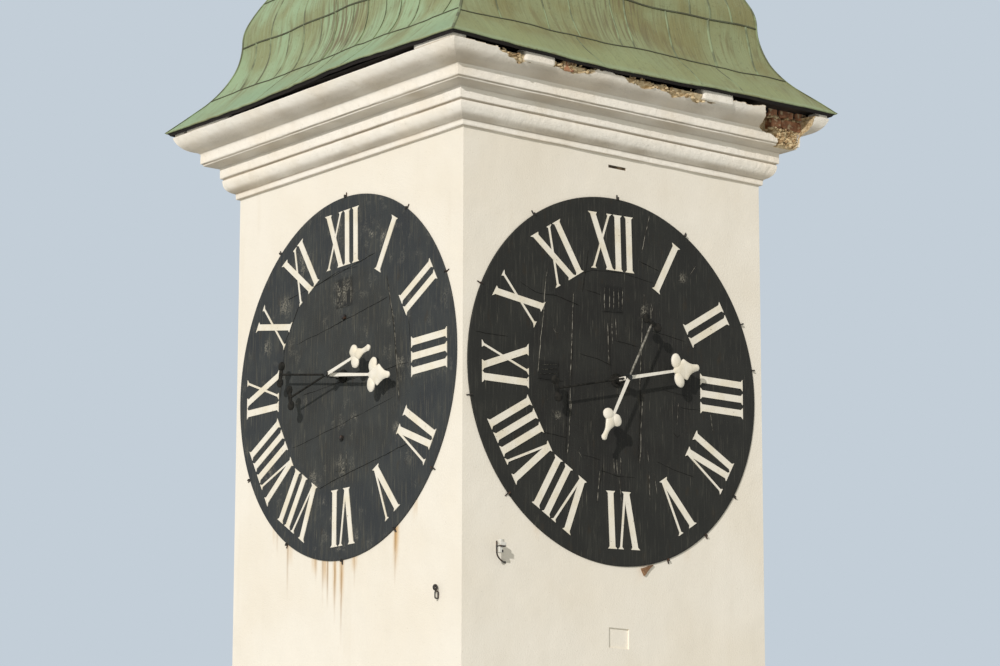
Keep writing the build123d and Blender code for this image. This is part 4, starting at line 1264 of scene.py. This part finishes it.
def dial_sheets(side):
    """Closed ring: the painted face, a soft rim, and a flat back on the wall."""
    rings, spokes = DIAL_GRID[side]
    inner = UNDER_FLANGE * (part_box(f"{side}_bush")[1].z - dial_place[side][1])
    r = np.concatenate([np.linspace(inner, dial_radius - RIM_ROUND, rings),
                        [dial_radius - RIM_ROUND / 4, dial_radius, dial_radius, inner]])[:, None]
    angle = circle(spokes)[None]
    x, y = r * np.sin(angle), r * np.cos(angle)
    height, scuff, old, core = dial_face(LIKE[side], x, y)
    face = np.arange(len(r))[:, None] < rings
    out = np.where(face, DIAL_THICKNESS + np.clip(height, -MOST_BUCKLE, MOST_BUCKLE), 0.0)
    out[rings:rings + 2] = DIAL_THICKNESS - RIM_ROUND * np.array([[0.3], [1.0]])
    u0, z0 = dial_place[side]
    points = on_wall(side, u0 + x, z0 + y, out)
    local = np.stack(np.broadcast_arrays(x, y, 0.0), -1).reshape(-1, 3)
    values = {"scuff": scuff * face, "old": old * face, "core": core * face, "dial": local}
    piece(f"{side}_dial_sheets", points, [ring_quads(*x.shape)], slot="black_dial",
          replaces=[f"{side}_dial"], values=values, sharp=30)


# %% Thin ridges along the laps and rubbed edges
RIDGE_STEP = 0.012
FOOT_DEPTH = 0.004   # of a ridge's feet under the face
RIDGE_END = 0.030    # length over which a ridge tapers at each end


def ridge(side, corners, width, rise, seed):
    """One thin ridge along a line through its corners, ragged as paint over an edge is.

    Stations a step apart leave the line by noise and swell and shrink by noise, and each has a
    three-cornered section: two feet sunk in the face and a blunt crest, off the middle.
    """
    corners = np.array(corners, float)
    total = run_length(corners)[-1]
    s = np.linspace(0, total, max(4, int(total / RIDGE_STEP)))
    line = points_at(s, corners)
    ahead = np.gradient(line, axis=0)
    ahead /= np.linalg.norm(ahead, axis=1, keepdims=True)
    across = np.stack([-ahead[:, 1], ahead[:, 0]], -1)
    at = np.stack([line[:, 0], line[:, 1], np.full(len(s), seed * 0.77)], -1)
    line = line + across * (0.0045 * noise(at, 0.10, 80) + 0.0018 * noise(at, 0.025, 81))[:, None]
    taper = np.clip(np.minimum(s, total - s) / RIDGE_END, 0.15, 1)
    reach = width / 2 * taper * (1 + 0.55 * noise(at, 0.03, 82))
    crest = DIAL_THICKNESS + rise * taper * (1 + 0.4 * noise(at, 0.04, 83))
    sunk = np.full(len(s), DIAL_THICKNESS - FOOT_DEPTH)
    u0, z0 = dial_place[side]
    loops = []
    for offset, out in ((-1.0, sunk), (0.2, crest), (1.0, sunk)):
        spot = line + across * (offset * reach)[:, None]
        loops.append(on_wall(side, u0 + spot[:, 0], z0 + spot[:, 1], out))
    loops = np.stack(loops, 1)
    return loops, tube(loops)


def dial_ridges(side, table, label, width, rise):
    """All the ridges of one kind on a dial, as one piece."""
    solids = [ridge(side, corners, width, rise, k) for k, corners in enumerate(table[LIKE[side]])]
    piece(f"{side}_dial_{label}", *joined(solids), slot="black_dial")


for side in SIDES:
    dial_sheets(side)
    dial_ridges(side, LAPS, "lap_edges", width=0.0070, rise=0.0032)
    dial_ridges(side, PRIMING_AND_HIGHLIGHT_LINES, "rubbed_edges", width=0.0050, rise=0.0040)

# %% [markdown]
# Matt black paint on iron weathers to a dark grey with rain marks that run straight down. Flaked
# places show the grey priming, and a little rust bleeds through. The two visible dials differ: one
# has kept its black, and the other has bleached, bluer on its rim and browner in its middle.

# %% Painted sheet iron
def black_paint(name, rim, core, faded, streak, streak_strength):
    """Old matt black paint: chalky, so it hardly mirrors the sky, with paler rain streaks."""
    material, tree, shader = new_material(name, roughness=0.72, specular_ior_level=0.22)
    local = add(tree, "Attribute", attribute_name="dial").outputs["Vector"]
    scuff, old, middle = (add(tree, "Attribute", attribute_name=key).outputs["Fac"]
                          for key in ("scuff", "old", "core"))
    cloud = patches(tree, local, 0.26, 0.34, 0.68, detail=5)
    rain = patches(tree, local, 0.011, 0.50, 0.78, stretch=(1, 22, 1), detail=3)
    drips = patches(tree, local, 0.020, 0.62, 0.74, stretch=(1, 9, 1), detail=5)
    rust = patches(tree, local, 0.07, 0.60, 0.76, stretch=(1, 2.5, 1), detail=5)
    crust = patches(tree, local, 0.010, 0.35, 0.7, detail=3)
    flecks = patches(tree, local, 0.012, 0.40, 0.62, detail=4)
    scratches = patches(tree, local, 0.009, 0.64, 0.72, stretch=(1, 24, 1), detail=4)
    colour = add(tree, "Mix", {0: middle, 6: rim, 7: core}, data_type="RGBA")
    colour = stain(tree, colour, cloud, faded, strength=0.7)
    colour = stain(tree, colour, rain, streak, strength=streak_strength)
    colour = stain(tree, colour, drips, streak, strength=streak_strength)
    colour = stain(tree, colour, scratches, "#8A8676", strength=streak_strength)
    colour = stain(tree, colour, rust, "#3E3222", strength=0.30)
    colour = stain(tree, colour, old, "#1A1916", strength=0.55)
    flaked = add(tree, "Math", {0: scuff, 1: flecks}, operation="MULTIPLY")
    colour = stain(tree, colour, flaked, "#8F8B7E", strength=0.9)
    dress(tree, shader, colour, [(cloud, 0.003), (rain, 0.0005), (crust, 0.0005), (flaked, -0.0006)])
    return material


sound_paint = black_paint("old black paint on sheet iron", "#2B2B28", "#282724", "#32322E", "#5A5950", 0.26)
bleached_paint = black_paint("bleached black paint on sheet iron", "#35383A", "#373836", "#3F4241",
                             "#726D5C", 0.34)
finish(sound_paint, "front_dial_sheets", "back_dial_sheets")
finish(bleached_paint, "left_dial_sheets", "right_dial_sheets")


def line_paint(name, light, dark):
    """One thin line: dirt and painted shadow in a lap, or priming and painted highlight on a rubbed edge,
    uneven along its run.
    """
    uneven = ((0.035, 0.38, 0.60), {"detail": 5}, dark, 1.0, None)
    return coat(name, light, [uneven], roughness=0.85, specular_ior_level=0.15)


# Lap lines: black dirt and painted shadow of the laps' steps. Rubbed lines: grey priming, and painted
# highlight along some sheet edges.
finish(line_paint("black dirt in the laps", "#171714", "#2A2925"), *all_sides("dial_lap_edges"))
finish(line_paint("grey priming on rubbed edges", "#8A867B", "#3A3934"), *all_sides("dial_rubbed_edges"))

# %% [markdown]
# The numerals are cut sheet, painted cream. The paint is thick and chalky, yellowed in patches, and
# chipped to dark iron at some edges.

# %% Cream paint on the numerals
def cream_paint(name, chipped):
    """Chalky cream oil paint: a soft, broad highlight, small chips down to the iron."""
    layers = [((0.14, 0.42, 0.68), {}, "#EBE2CC", 1.0, 0.0015),
              ((0.05, 0.52, 0.74), {"stretch": (1, 1, 2)}, "#D6CCB6", 0.30, None),
              ((0.008, 0.3, 0.7), {"detail": 2}, None, None, 0.0005),
              ((0.014, 0.69, 0.72), {}, "#5B4A3A", chipped, -0.0004)]   # yellowing, dust, brush, chips
    return coat(name, "#F1EBDC", layers, roughness=0.55, ior=1.46)


finish(cream_paint("cream paint on cut sheet", 0.65), *all_sides("numerals"))

# %% [markdown]
# Small iron clips hold the rim to the wall. They are only a few centimetres long, but each one
# breaks the clean edge of the circle. Two bolts stand out of the left dial, over and under its middle.

# %% Rim clips and bolts
CLIP_ANGLES = {"front": (326, 1, 30, 294, 65, 80, 259, 227, 159, 141, 123),
               "left": (0, 34, 322, 65, 127, 152, 180, 211, 243)}
CLIP_HALVES = (0.0035, 0.014, 0.010)   # across the clip, out from the wall, along the radius
FOOT_HALVES = (0.0035, 0.004, 0.014)
BOLT_HALVES = (0.014, 0.016, 0.016)
BOLTS = {"front": [], "left": [(0.010, 0.390), (-0.004, -0.404)]}   # from the dial's middle


def rim_clips(side):
    """One small block over the rim at each angle, clockwise from XII, and its bent foot on the wall."""
    u0, z0 = dial_place[side]
    angle = np.radians(np.array(CLIP_ANGLES[LIKE[side]], float))
    solids = []
    for halves, reach, out in ((CLIP_HALVES, 0.003, 0.010), (FOOT_HALVES, 0.016, 0.003)):
        r = dial_radius + reach
        centres = np.stack([u0 + r * np.sin(angle), np.full_like(angle, -half - out),
                            z0 + r * np.cos(angle)], -1)
        loops = lumps(centres, halves, lean=-angle, square=0.3, stations=6, around=10, dent=0.1, seed=60)
        solids.append((turned(loops, side), tube(loops)))
    for x, y in BOLTS[LIKE[side]]:
        loops = lumps((u0 + x, -half - DIAL_THICKNESS - 0.012, z0 + y), BOLT_HALVES,
                      square=0.6, stations=12, around=18, seed=61)
        solids.append((turned(loops, side), tube(loops)))
    piece(f"{side}_dial_clips", *joined(solids), slot="dark_iron")


for side in SIDES:
    rim_clips(side)
finish(iron, *all_sides("dial_clips"))

# %% [markdown]
# ## The hands
# A hand is a flat iron bar that the CAD already has, cut to its outline. The real heads are beaten
# up into rounded lobes, which catch the light as small cushions. So each hand gets a domed spade
# and two domed ears over its flat head, and round lobes on its tail. The pointer is painted white
# from just behind the pivot, and the boss, the nut and the tail are black.

# %% Sizes of the hands, from the pivot
HANDS = {  # level out from the wall; head's foot; ear: out and halves; shoulder: half and place
    "hour": dict(level=0.108, foot=0.417, ear=(0.062, 0.050, 0.038), shoulder=(0.068, 0.517),
                 length=0.640, tail=0.600),
    "minute": dict(level=0.141, foot=0.273, ear=(0.036, 0.042, 0.038), shoulder=(0.038, 0.349),
                   length=0.478, tail=0.445)}
READINGS = {  # degrees clockwise from XII: hour hand, minute hand
    "front": (76.8, 207.2), "left": (98.5, 77), "back": (76.8, 207.2), "right": (98.5, 77)}
EAR_RISE, EAR_LEAN = 0.034, math.radians(12)
FOOT_HALF, TIP_HALF, HOLLOW = 0.012, 0.021, 0.012
LOBE_OUT, LOBE_RADIUS, BAR_HEIGHT = 0.054, 0.032, 0.036
TAIL_ROD_RADIUS = 0.0070
DOME = 0.015   # height of a spade's dome; the ears' and the tail bar's are shares of it
EAR_DOME, BAR_DOME = DOME * 1.15, DOME * 0.7


# %% Points and domes of a hand
def hand_points(points, side, kind):
    """Points drawn for a hand at XII (x across, y along, z out) put on the dial at its reading."""
    angle = math.radians(READINGS[side][0 if kind == "hour" else 1])
    x, y, z = np.moveaxis(np.asarray(points, float), -1, 0)
    u0, z0 = dial_place[side]
    return on_wall(side, u0 + x * math.cos(angle) + y * math.sin(angle),
                   z0 - x * math.sin(angle) + y * math.cos(angle), z)


def pillow(centre, halves, lean, level, dome):
    """Flattened ball: an ellipse in the hand's plane whose thickness falls off to its edge."""
    v = np.linspace(-POLE, POLE, 14)[:, None]
    u = circle(28)[None]
    x = halves[0] * np.cos(v) * np.cos(u)
    y = halves[1] * np.cos(v) * np.sin(u)
    z = np.broadcast_to(level + dome * np.sin(v), x.shape)
    x, y = x * math.cos(lean) - y * math.sin(lean), x * math.sin(lean) + y * math.cos(lean)
    return np.stack([centre[0] + x, centre[1] + y, z], -1)


def spade_loops(size):
    """Spade as a run of lens-shaped sections: half width from the outline, thickness a share of it."""
    widest, shoulder = size["shoulder"]
    foot, tip = size["foot"], size["length"] - TIP_HALF
    middle = ((widest + TIP_HALF) / 2 - HOLLOW, (shoulder + tip) / 2)
    rising = np.array([(FOOT_HALF, foot), (widest * 0.72, foot + 0.55 * (shoulder - foot))])
    round_shoulder = arc((widest * 0.92, shoulder - 0.012), (widest, shoulder),
                         (widest * 0.88, shoulder + 0.014), 8)
    sides = arc((widest * 0.80, shoulder + 0.020), middle, (TIP_HALF, tip), 14)
    end = arc((TIP_HALF, tip + 0.001), (TIP_HALF * 0.75, tip + TIP_HALF * 0.66), (0.003, size["length"]), 10)
    outline = np.concatenate([rising, round_shoulder, sides, end])
    along = np.linspace(outline[0, 1], outline[-1, 1], 60)
    width = np.interp(along, outline[:, 1], outline[:, 0])[:, None]
    thick = np.minimum(DOME, 0.004 + 0.30 * width)
    u = circle(20)[None]
    out = size["level"] + thick * np.sin(u)
    return np.stack(np.broadcast_arrays(width * np.cos(u), along[:, None], out), -1)


# %% Heads and tails
def hand_head(side, kind):
    """The white domes of one hand: a spade and two ears, dented a little, as beaten metal is."""
    size = HANDS[kind]
    ear_out, ear_half, ear_narrow = size["ear"]
    ear_level = size["foot"] + EAR_RISE
    loops = [spade_loops(size)]
    for sign in (-1, 1):
        loops.append(pillow((sign * ear_out, ear_level), (ear_half, ear_narrow), sign * EAR_LEAN,
                            size["level"], EAR_DOME))
    solids = []
    for loop in loops:
        loop = loop + 0.0022 * np.stack([noise(loop, 0.035, 70 + k) for k in range(3)], -1)
        solids.append((hand_points(loop, side, kind), tube(loop)))
    piece(f"{side}_{kind}_head", *joined(solids), body=f"{side}_{kind}_hand", slot="painted_hand")


def hand_tail(side, kind):
    """The dark end of one hand's tail, two round lobes and their bar, and a rod up to the boss."""
    size = HANDS[kind]
    bar = BAR_HEIGHT / 2 - size["tail"]
    loops = [pillow((sign * LOBE_OUT, bar), (LOBE_RADIUS, LOBE_RADIUS), 0, size["level"], DOME)
             for sign in (-1, 1)]
    loops.append(pillow((0, bar), (LOBE_OUT, BAR_HEIGHT / 2), 0, size["level"], BAR_DOME))
    solids = [(hand_points(loop, side, kind), tube(loop)) for loop in loops]
    piece(f"{side}_{kind}_tail_lobes", *joined(solids), body=f"{side}_{kind}_hand", slot="painted_hand")
    along = np.linspace(bar + 0.015, -0.018, 30)[:, None]
    u = circle(10)[None]
    out = size["level"] + TAIL_ROD_RADIUS * np.sin(u)
    rod = np.stack(np.broadcast_arrays(TAIL_ROD_RADIUS * np.cos(u), along, out), -1)
    piece(f"{side}_{kind}_tail_rod", hand_points(rod, side, kind), tube(rod), body=f"{side}_{kind}_hand",
          slot="painted_hand")


for side in SIDES:
    for kind in HANDS:
        hand_head(side, kind)
        hand_tail(side, kind)


# %% Two paints on one bar
WHITE_STARTS = {"hour": -0.032, "minute": -0.004}   # along the hand from the pivot
BLADE_HALF = 0.0126
BAR_FACE = 0.0035   # just over the bar's front, from its middle level
BOSS_RADIUS = 0.027


def hand_paint(side, kind):
    """White paint on the pointer's bar and black on the boss, the nut and the tail.

    The place, less the pivot, is measured along the hand, across it and out from the wall by dot
    products. White needs along > start, |across| < the bar's half width as far as the boss
    reaches, and a place no higher than the bar's face.
    """
    material, tree, shader = new_material(f"white and black paint on the {side} {kind} hand",
                                          roughness=0.55, ior=1.46)
    place = add(tree, "TexCoord").outputs["Object"]
    origin, ahead, beside_it, outward = hand_points([(0, 0, 0), (0, 1, 0), (1, 0, 0), (0, 0, 1)], side, kind)
    from_pivot = add(tree, "VectorMath", {0: place, 1: tuple(origin)}, operation="SUBTRACT")
    along, across, out = (
        add(tree, "VectorMath", {0: from_pivot.outputs[0], 1: tuple(axis - origin)}, operation="DOT_PRODUCT")
        .outputs["Value"] for axis in (ahead, beside_it, outward))
    reach = add(tree, "MapRange", {0: along, 1: BOSS_RADIUS, 2: BOSS_RADIUS + 0.001, 3: BLADE_HALF, 4: 1.0})
    aside = add(tree, "Math", {0: across}, operation="ABSOLUTE")
    tests = [("GREATER_THAN", along, WHITE_STARTS[kind]), ("LESS_THAN", aside, reach),
             ("LESS_THAN", out, HANDS[kind]["level"] + BAR_FACE)]
    white = None
    for how, value, limit in tests:
        test = add(tree, "Math", {0: value, 1: limit}, operation=how)
        white = test if white is None else add(tree, "Math", {0: white, 1: test}, operation="MULTIPLY")
    dust = patches(tree, place, 0.04, 0.48, 0.74)
    worn = patches(tree, place, 0.012, 0.62, 0.70)
    cream = stain(tree, "#F0EBDF", dust, "#D5CBB6", strength=0.5)
    cream = stain(tree, cream, worn, "#8C8271", strength=0.4)
    black = stain(tree, "#1F1F1C", dust, "#2E2B26")
    colour = add(tree, "Mix", {0: white, 6: black, 7: cream}, data_type="RGBA")
    dress(tree, shader, colour, [(dust, 0.001), (worn, -0.0004)])
    return material


for side in SIDES:
    for kind in HANDS:
        finish(hand_paint(side, kind), f"{side}_{kind}_hand")
finish(cream_paint("thick white paint on beaten iron", 0.15), *all_sides("hour_head", "minute_head"))
finish(line_paint("black paint on the tails", "#1D1D1A", "#2D2B27"),
       *all_sides("hour_tail_lobes", "minute_tail_lobes", "hour_tail_rod", "minute_tail_rod", "bush"))
finish(line_paint("worn paint on the short tails", "#98958B", "#5D5A52"),
       "front_minute_tail_rod", "back_minute_tail_rod")

# %% [markdown]
# ## Small things on the walls and the door
# A floodlight hangs on the front wall: an enamelled housing under a cap, a dark visor, and a bent rod
# that holds it. An iron eye with a link hangs on the left wall. Under the front dial's rim a wooden
# wedge has been driven in. At the back, the door's leaf is a row of upright boards, each joint cut
# as a narrow V.

# %% Bars along a path
def bar_loops(path, radius, square_to):
    """Circles round a path that lies in a plane: square_to is that plane's normal."""
    path = np.asarray(path, float)
    ahead = np.gradient(path, axis=0)
    ahead /= np.linalg.norm(ahead, axis=1, keepdims=True)
    across = np.cross(ahead, square_to)
    u = circle(12)[None, :, None]
    spokes = np.cos(u) * across[:, None] + np.sin(u) * np.asarray(square_to, float)
    return path[:, None] + radius * spokes


# %% Housing and visor of the floodlight
low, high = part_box("wall_bracket")
LAMP_MIDDLE = 0.048   # over the bracket's foot
lamp_x, lamp_z = (low.x + high.x) / 2, low.z + LAMP_MIDDLE
LAMP_LUMPS = {  # across, out from the wall and up from the bracket's middle; then half sizes
    "lamp_housing": [((-0.048, 0.062, 0.044), (0.025, 0.022, 0.011)),
                     ((-0.050, 0.062, 0.064), (0.016, 0.015, 0.010)),
                     ((-0.058, 0.060, 0.009), (0.014, 0.014, 0.020))],
    "lamp_visor": [((-0.049, 0.063, 0.0305), (0.024, 0.023, 0.0030)),
                   ((-0.047, 0.069, 0.000), (0.006, 0.006, 0.009)),
                   ((0.028, 0.002, -0.056), (0.006, 0.003, 0.006))]}
for name, slot, stands_for in (("lamp_housing", "white_fitting", ["wall_bracket"]),
                               ("lamp_visor", "dark_iron", [])):
    places, sizes = np.moveaxis(np.array(LAMP_LUMPS[name]), 1, 0)
    centres = np.stack([lamp_x + places[:, 0], -half - places[:, 1], lamp_z + places[:, 2]], -1)
    loops = lumps(centres, sizes, square=0.22, stations=16, around=40, dent=0.03, seed=90)
    piece(name, loops, tube(loops), slot=slot, replaces=stands_for)

# %% Rod of the floodlight
ROD_TOP, ROD_ROOT = np.array([-0.081, 0.058]), np.array([0.028, 0.0])  # across, out from the wall
ROD_HEIGHT, BEND_HEIGHT, ROOT_HEIGHT = 0.062, -0.004, -0.056   # from the lamp's middle
ROD_RADIUS = 0.0048
turn = np.linspace(0, math.pi / 2, 30)[1:]
share = np.r_[np.zeros(12), 1 - np.cos(turn)][:, None]
up = np.r_[np.linspace(ROD_HEIGHT, BEND_HEIGHT, 12),
           BEND_HEIGHT + (ROOT_HEIGHT - BEND_HEIGHT) * np.sin(turn)]
aside, away = (ROD_TOP + share * (ROD_ROOT - ROD_TOP)).T
beside_rod = np.array([-ROD_TOP[1], ROD_ROOT[0] - ROD_TOP[0], 0.0]) / np.linalg.norm(ROD_ROOT - ROD_TOP)
rod_loops = bar_loops(np.stack([lamp_x + aside, -half - away, lamp_z + up], -1), ROD_RADIUS, beside_rod)
piece("lamp_rod", rod_loops, tube(rod_loops), slot="dark_iron")
finish(old_enamel(), "lamp_housing")
finish(iron, "lamp_visor", "lamp_rod")

# %% Eye and link on the left wall
RINGS = [  # along the wall, height, out from the wall, half sizes out and up, radius of the bar, squareness
    (1.021, 4.509, 0.018, 0.013, 0.022, 0.0045, 0.45), (1.021, 4.554, 0.029, 0.011, 0.013, 0.0080, 1.0)]
turn = np.linspace(0, math.tau, 41)
ring_solids = []
for along, height, out, out_half, up_half, bar, square in RINGS:
    far, high = squared_off(np.cos(turn), square), squared_off(np.sin(turn), square)
    ring = on_wall("left", along, height + up_half * high, out + out_half * far)
    loops = bar_loops(ring, bar, (0, 1, 0))
    ring_solids.append((loops, tube(loops)))
piece("wall_eye_and_link", *joined(ring_solids), slot="dark_iron", replaces=["wall_hook"])
finish(iron, "wall_eye_and_link")

# %% Painted shade in the vent slot over the front dial
VENT_SHIFT, VENT_HALVES = (0.028, 1.411), (0.0742, 0.009, 0.0094)  # from the dial's middle; half sizes
VENT_DEPTH = 0.014   # of the dark plate's middle behind the wall's face
u0, z0 = dial_place["front"]
vent_middle = (u0 + VENT_SHIFT[0], -half + VENT_DEPTH, z0 + VENT_SHIFT[1])
# A dark plate at the back of the slot is painted shade: it stands for the shade inside the slot.
vent_shade_points = lumps(vent_middle, VENT_HALVES, square=0.16, stations=18, around=48, dent=0.03, seed=92)
piece("vent_shade_plate", vent_shade_points, tube(vent_shade_points), slot="white_render")
finish(line_paint("soot on old render", "#6B5B45", "#3A3024"), "vent_shade_plate")

# %% Wedge under the front dial
WEDGE = np.array([  # from the dial's middle
    (0.205, -1.196), (0.306, -1.163), (0.268, -1.196), (0.231, -1.241)])
LEVELS = np.array([-0.010, 0.006, 0.013, 0.016, 0.016])   # out from the wall
SHRINK = np.array([1.0, 1.0, 0.98, 0.90, 0.02])[:, None, None]   # the outline's size at each level
ring = np.concatenate([np.linspace(a, b, 9)[:-1] for a, b in zip(WEDGE, np.roll(WEDGE, -1, axis=0))])
centre = ring.mean(axis=0)
outline = centre + (ring - centre)[None] * SHRINK
at = [np.dstack([outline, np.full(outline.shape[:2], k)]) for k in (0.0, 5.0)]
ragged = 0.0016 * np.stack([noise(spot, 0.012, 95) for spot in at], -1)
outline = outline + ragged * (SHRINK > 0.5)
wedge_points = on_wall("front", u0 + outline[..., 0], z0 + outline[..., 1], LEVELS[:, None])
piece("dial_wedge", wedge_points, tube(wedge_points), slot="door_timber", sharp=30)
finish(weathered_timber("split softwood wedge", "#A5805C", "#6A4A33", (1, 1, 1)), "dial_wedge")

# %% Boards of the door
low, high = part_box("door_leaf")
BOARDS, GROOVE_HALF, GROOVE_DEPTH = 6, 0.006, 0.007
pitch, middle = (high.x - low.x) / BOARDS, (low.x + high.x) / 2
last = pitch / GROOVE_HALF
on_board = np.r_[0, 0.5, 1, np.linspace(2.5, last - 2.5, 7), last - 1, last - 0.5]   # in half grooves
x = np.append(np.add.outer(np.arange(BOARDS) * pitch, on_board * GROOVE_HALF), high.x - low.x)[None] + low.x
z = np.linspace(low.z, high.z, 60)[:, None]
beside_joint = np.abs((x - low.x + pitch / 2) % pitch - pitch / 2)
within = np.abs(x - middle) < (high.x - low.x) / 2 - 0.01
joint = np.clip(1 - beside_joint / GROOVE_HALF, 0, 1) * within
board = np.floor((x - low.x) / pitch)
spot = np.stack(np.broadcast_arrays(x, board * 3.0, z), -1)
worn = 0.0006 + 0.0008 * noise(spot * [1, 1, 0.15], 0.02, 97)
face = high.y - np.clip(worn, 0, None) - GROOVE_DEPTH * joint
front_sheet = np.stack(np.broadcast_arrays(x, face, z), -1)
back_sheet = np.stack(np.broadcast_arrays(x, low.y, z), -1)
piece("door_boards", *shell(front_sheet, back_sheet), slot="door_timber", replaces=["door_leaf"], sharp=30)
finish(door_wood, "door_boards")

# %% [markdown]
# ## Stage, light and camera
# The tower stands on a plain pale floor. One large, soft lamp stands for the sun from the left, low
# enough to throw each hand's shadow on its dial, and the room's even light fills the rest. The
# background's colour comes from the world as the camera sees it, not from light on the object.

# %% Floor
FLOOR_HALF = 60.0
floor_points = np.array([[-1, -1, 0], [1, -1, 0], [1, 1, 0], [-1, 1, 0]], float) * FLOOR_HALF
floor_mesh = bpy.data.meshes.new("studio_floor")
floor_mesh.from_pydata(floor_points.tolist(), [], [[0, 1, 2, 3]])
floor = bpy.data.objects.new("studio_floor", floor_mesh)
bpy.context.scene.collection.objects.link(floor)
floor_paper, _, _ = new_material("pale studio floor", roughness=0.9, base_color="#D4D8DB")
finish(floor_paper, "studio_floor")

# %% World
ROOM_LIGHT = 0.47
world = bpy.data.worlds.new("soft room")
bpy.context.scene.world = world
world.use_nodes = True
sky = world.node_tree
sky.nodes.clear()
room = add(sky, "Background", {0: "#FFFCF0", 1: ROOM_LIGHT})
backdrop = add(sky, "Background", {0: "#C3CED8", 1: 1.0})
ray = add(sky, "LightPath")
seen = ray.outputs["Is Camera Ray"]
for kind in ("Is Glossy Ray", "Is Transmission Ray"):
    seen = add(sky, "Math", {0: seen, 1: ray.outputs[kind]}, operation="MAXIMUM")
both = add(sky, "MixShader", {0: seen, 1: room, 2: backdrop})
add(sky, "OutputWorld", {0: both})

# %% Sun
from mathutils import Matrix, Vector

SUN_TRAVEL = Vector((0.788, 0.512, -0.342))  # read from the shadows of the hands in the photograph
SUN_STRENGTH = 2.38
sun_data = bpy.data.lights.new("soft_sun", "SUN")
sun_data.energy = SUN_STRENGTH
sun_data.angle = math.radians(1.5)
sun_data.color = linear("#FEFAF8")[:3]
sun = bpy.data.objects.new("soft_sun", sun_data)
sun.rotation_euler = SUN_TRAVEL.to_track_quat("-Z", "Y").to_euler()
bpy.context.scene.collection.objects.link(sun)

# %% Camera
CAMERA_PLACE = Vector((-14.100, -17.984, 1.773))  # this place, turn and lens are the photograph's
CAMERA_TURN, CAMERA_TILT, CAMERA_ROLL = (math.radians(v) for v in (-38.149, -11.643, 0.106))
FOCAL_LENGTH = 125.03
camera_data = bpy.data.cameras.new("camera")
camera_data.lens = FOCAL_LENGTH
camera_data.sensor_width = 36.0
camera_data.clip_end = 500.0
camera = bpy.data.objects.new("camera", camera_data)
camera.matrix_world = (Matrix.Translation(CAMERA_PLACE) @ Matrix.Rotation(CAMERA_TURN, 4, "Z")
                       @ Matrix.Rotation(math.pi / 2 - CAMERA_TILT, 4, "X")
                       @ Matrix.Rotation(CAMERA_ROLL, 4, "Z"))
bpy.context.scene.collection.objects.link(camera)
bpy.context.scene.camera = camera
bpy.context.scene.view_settings.view_transform = "Standard"

# %% Update the scene
bpy.context.view_layer.update()
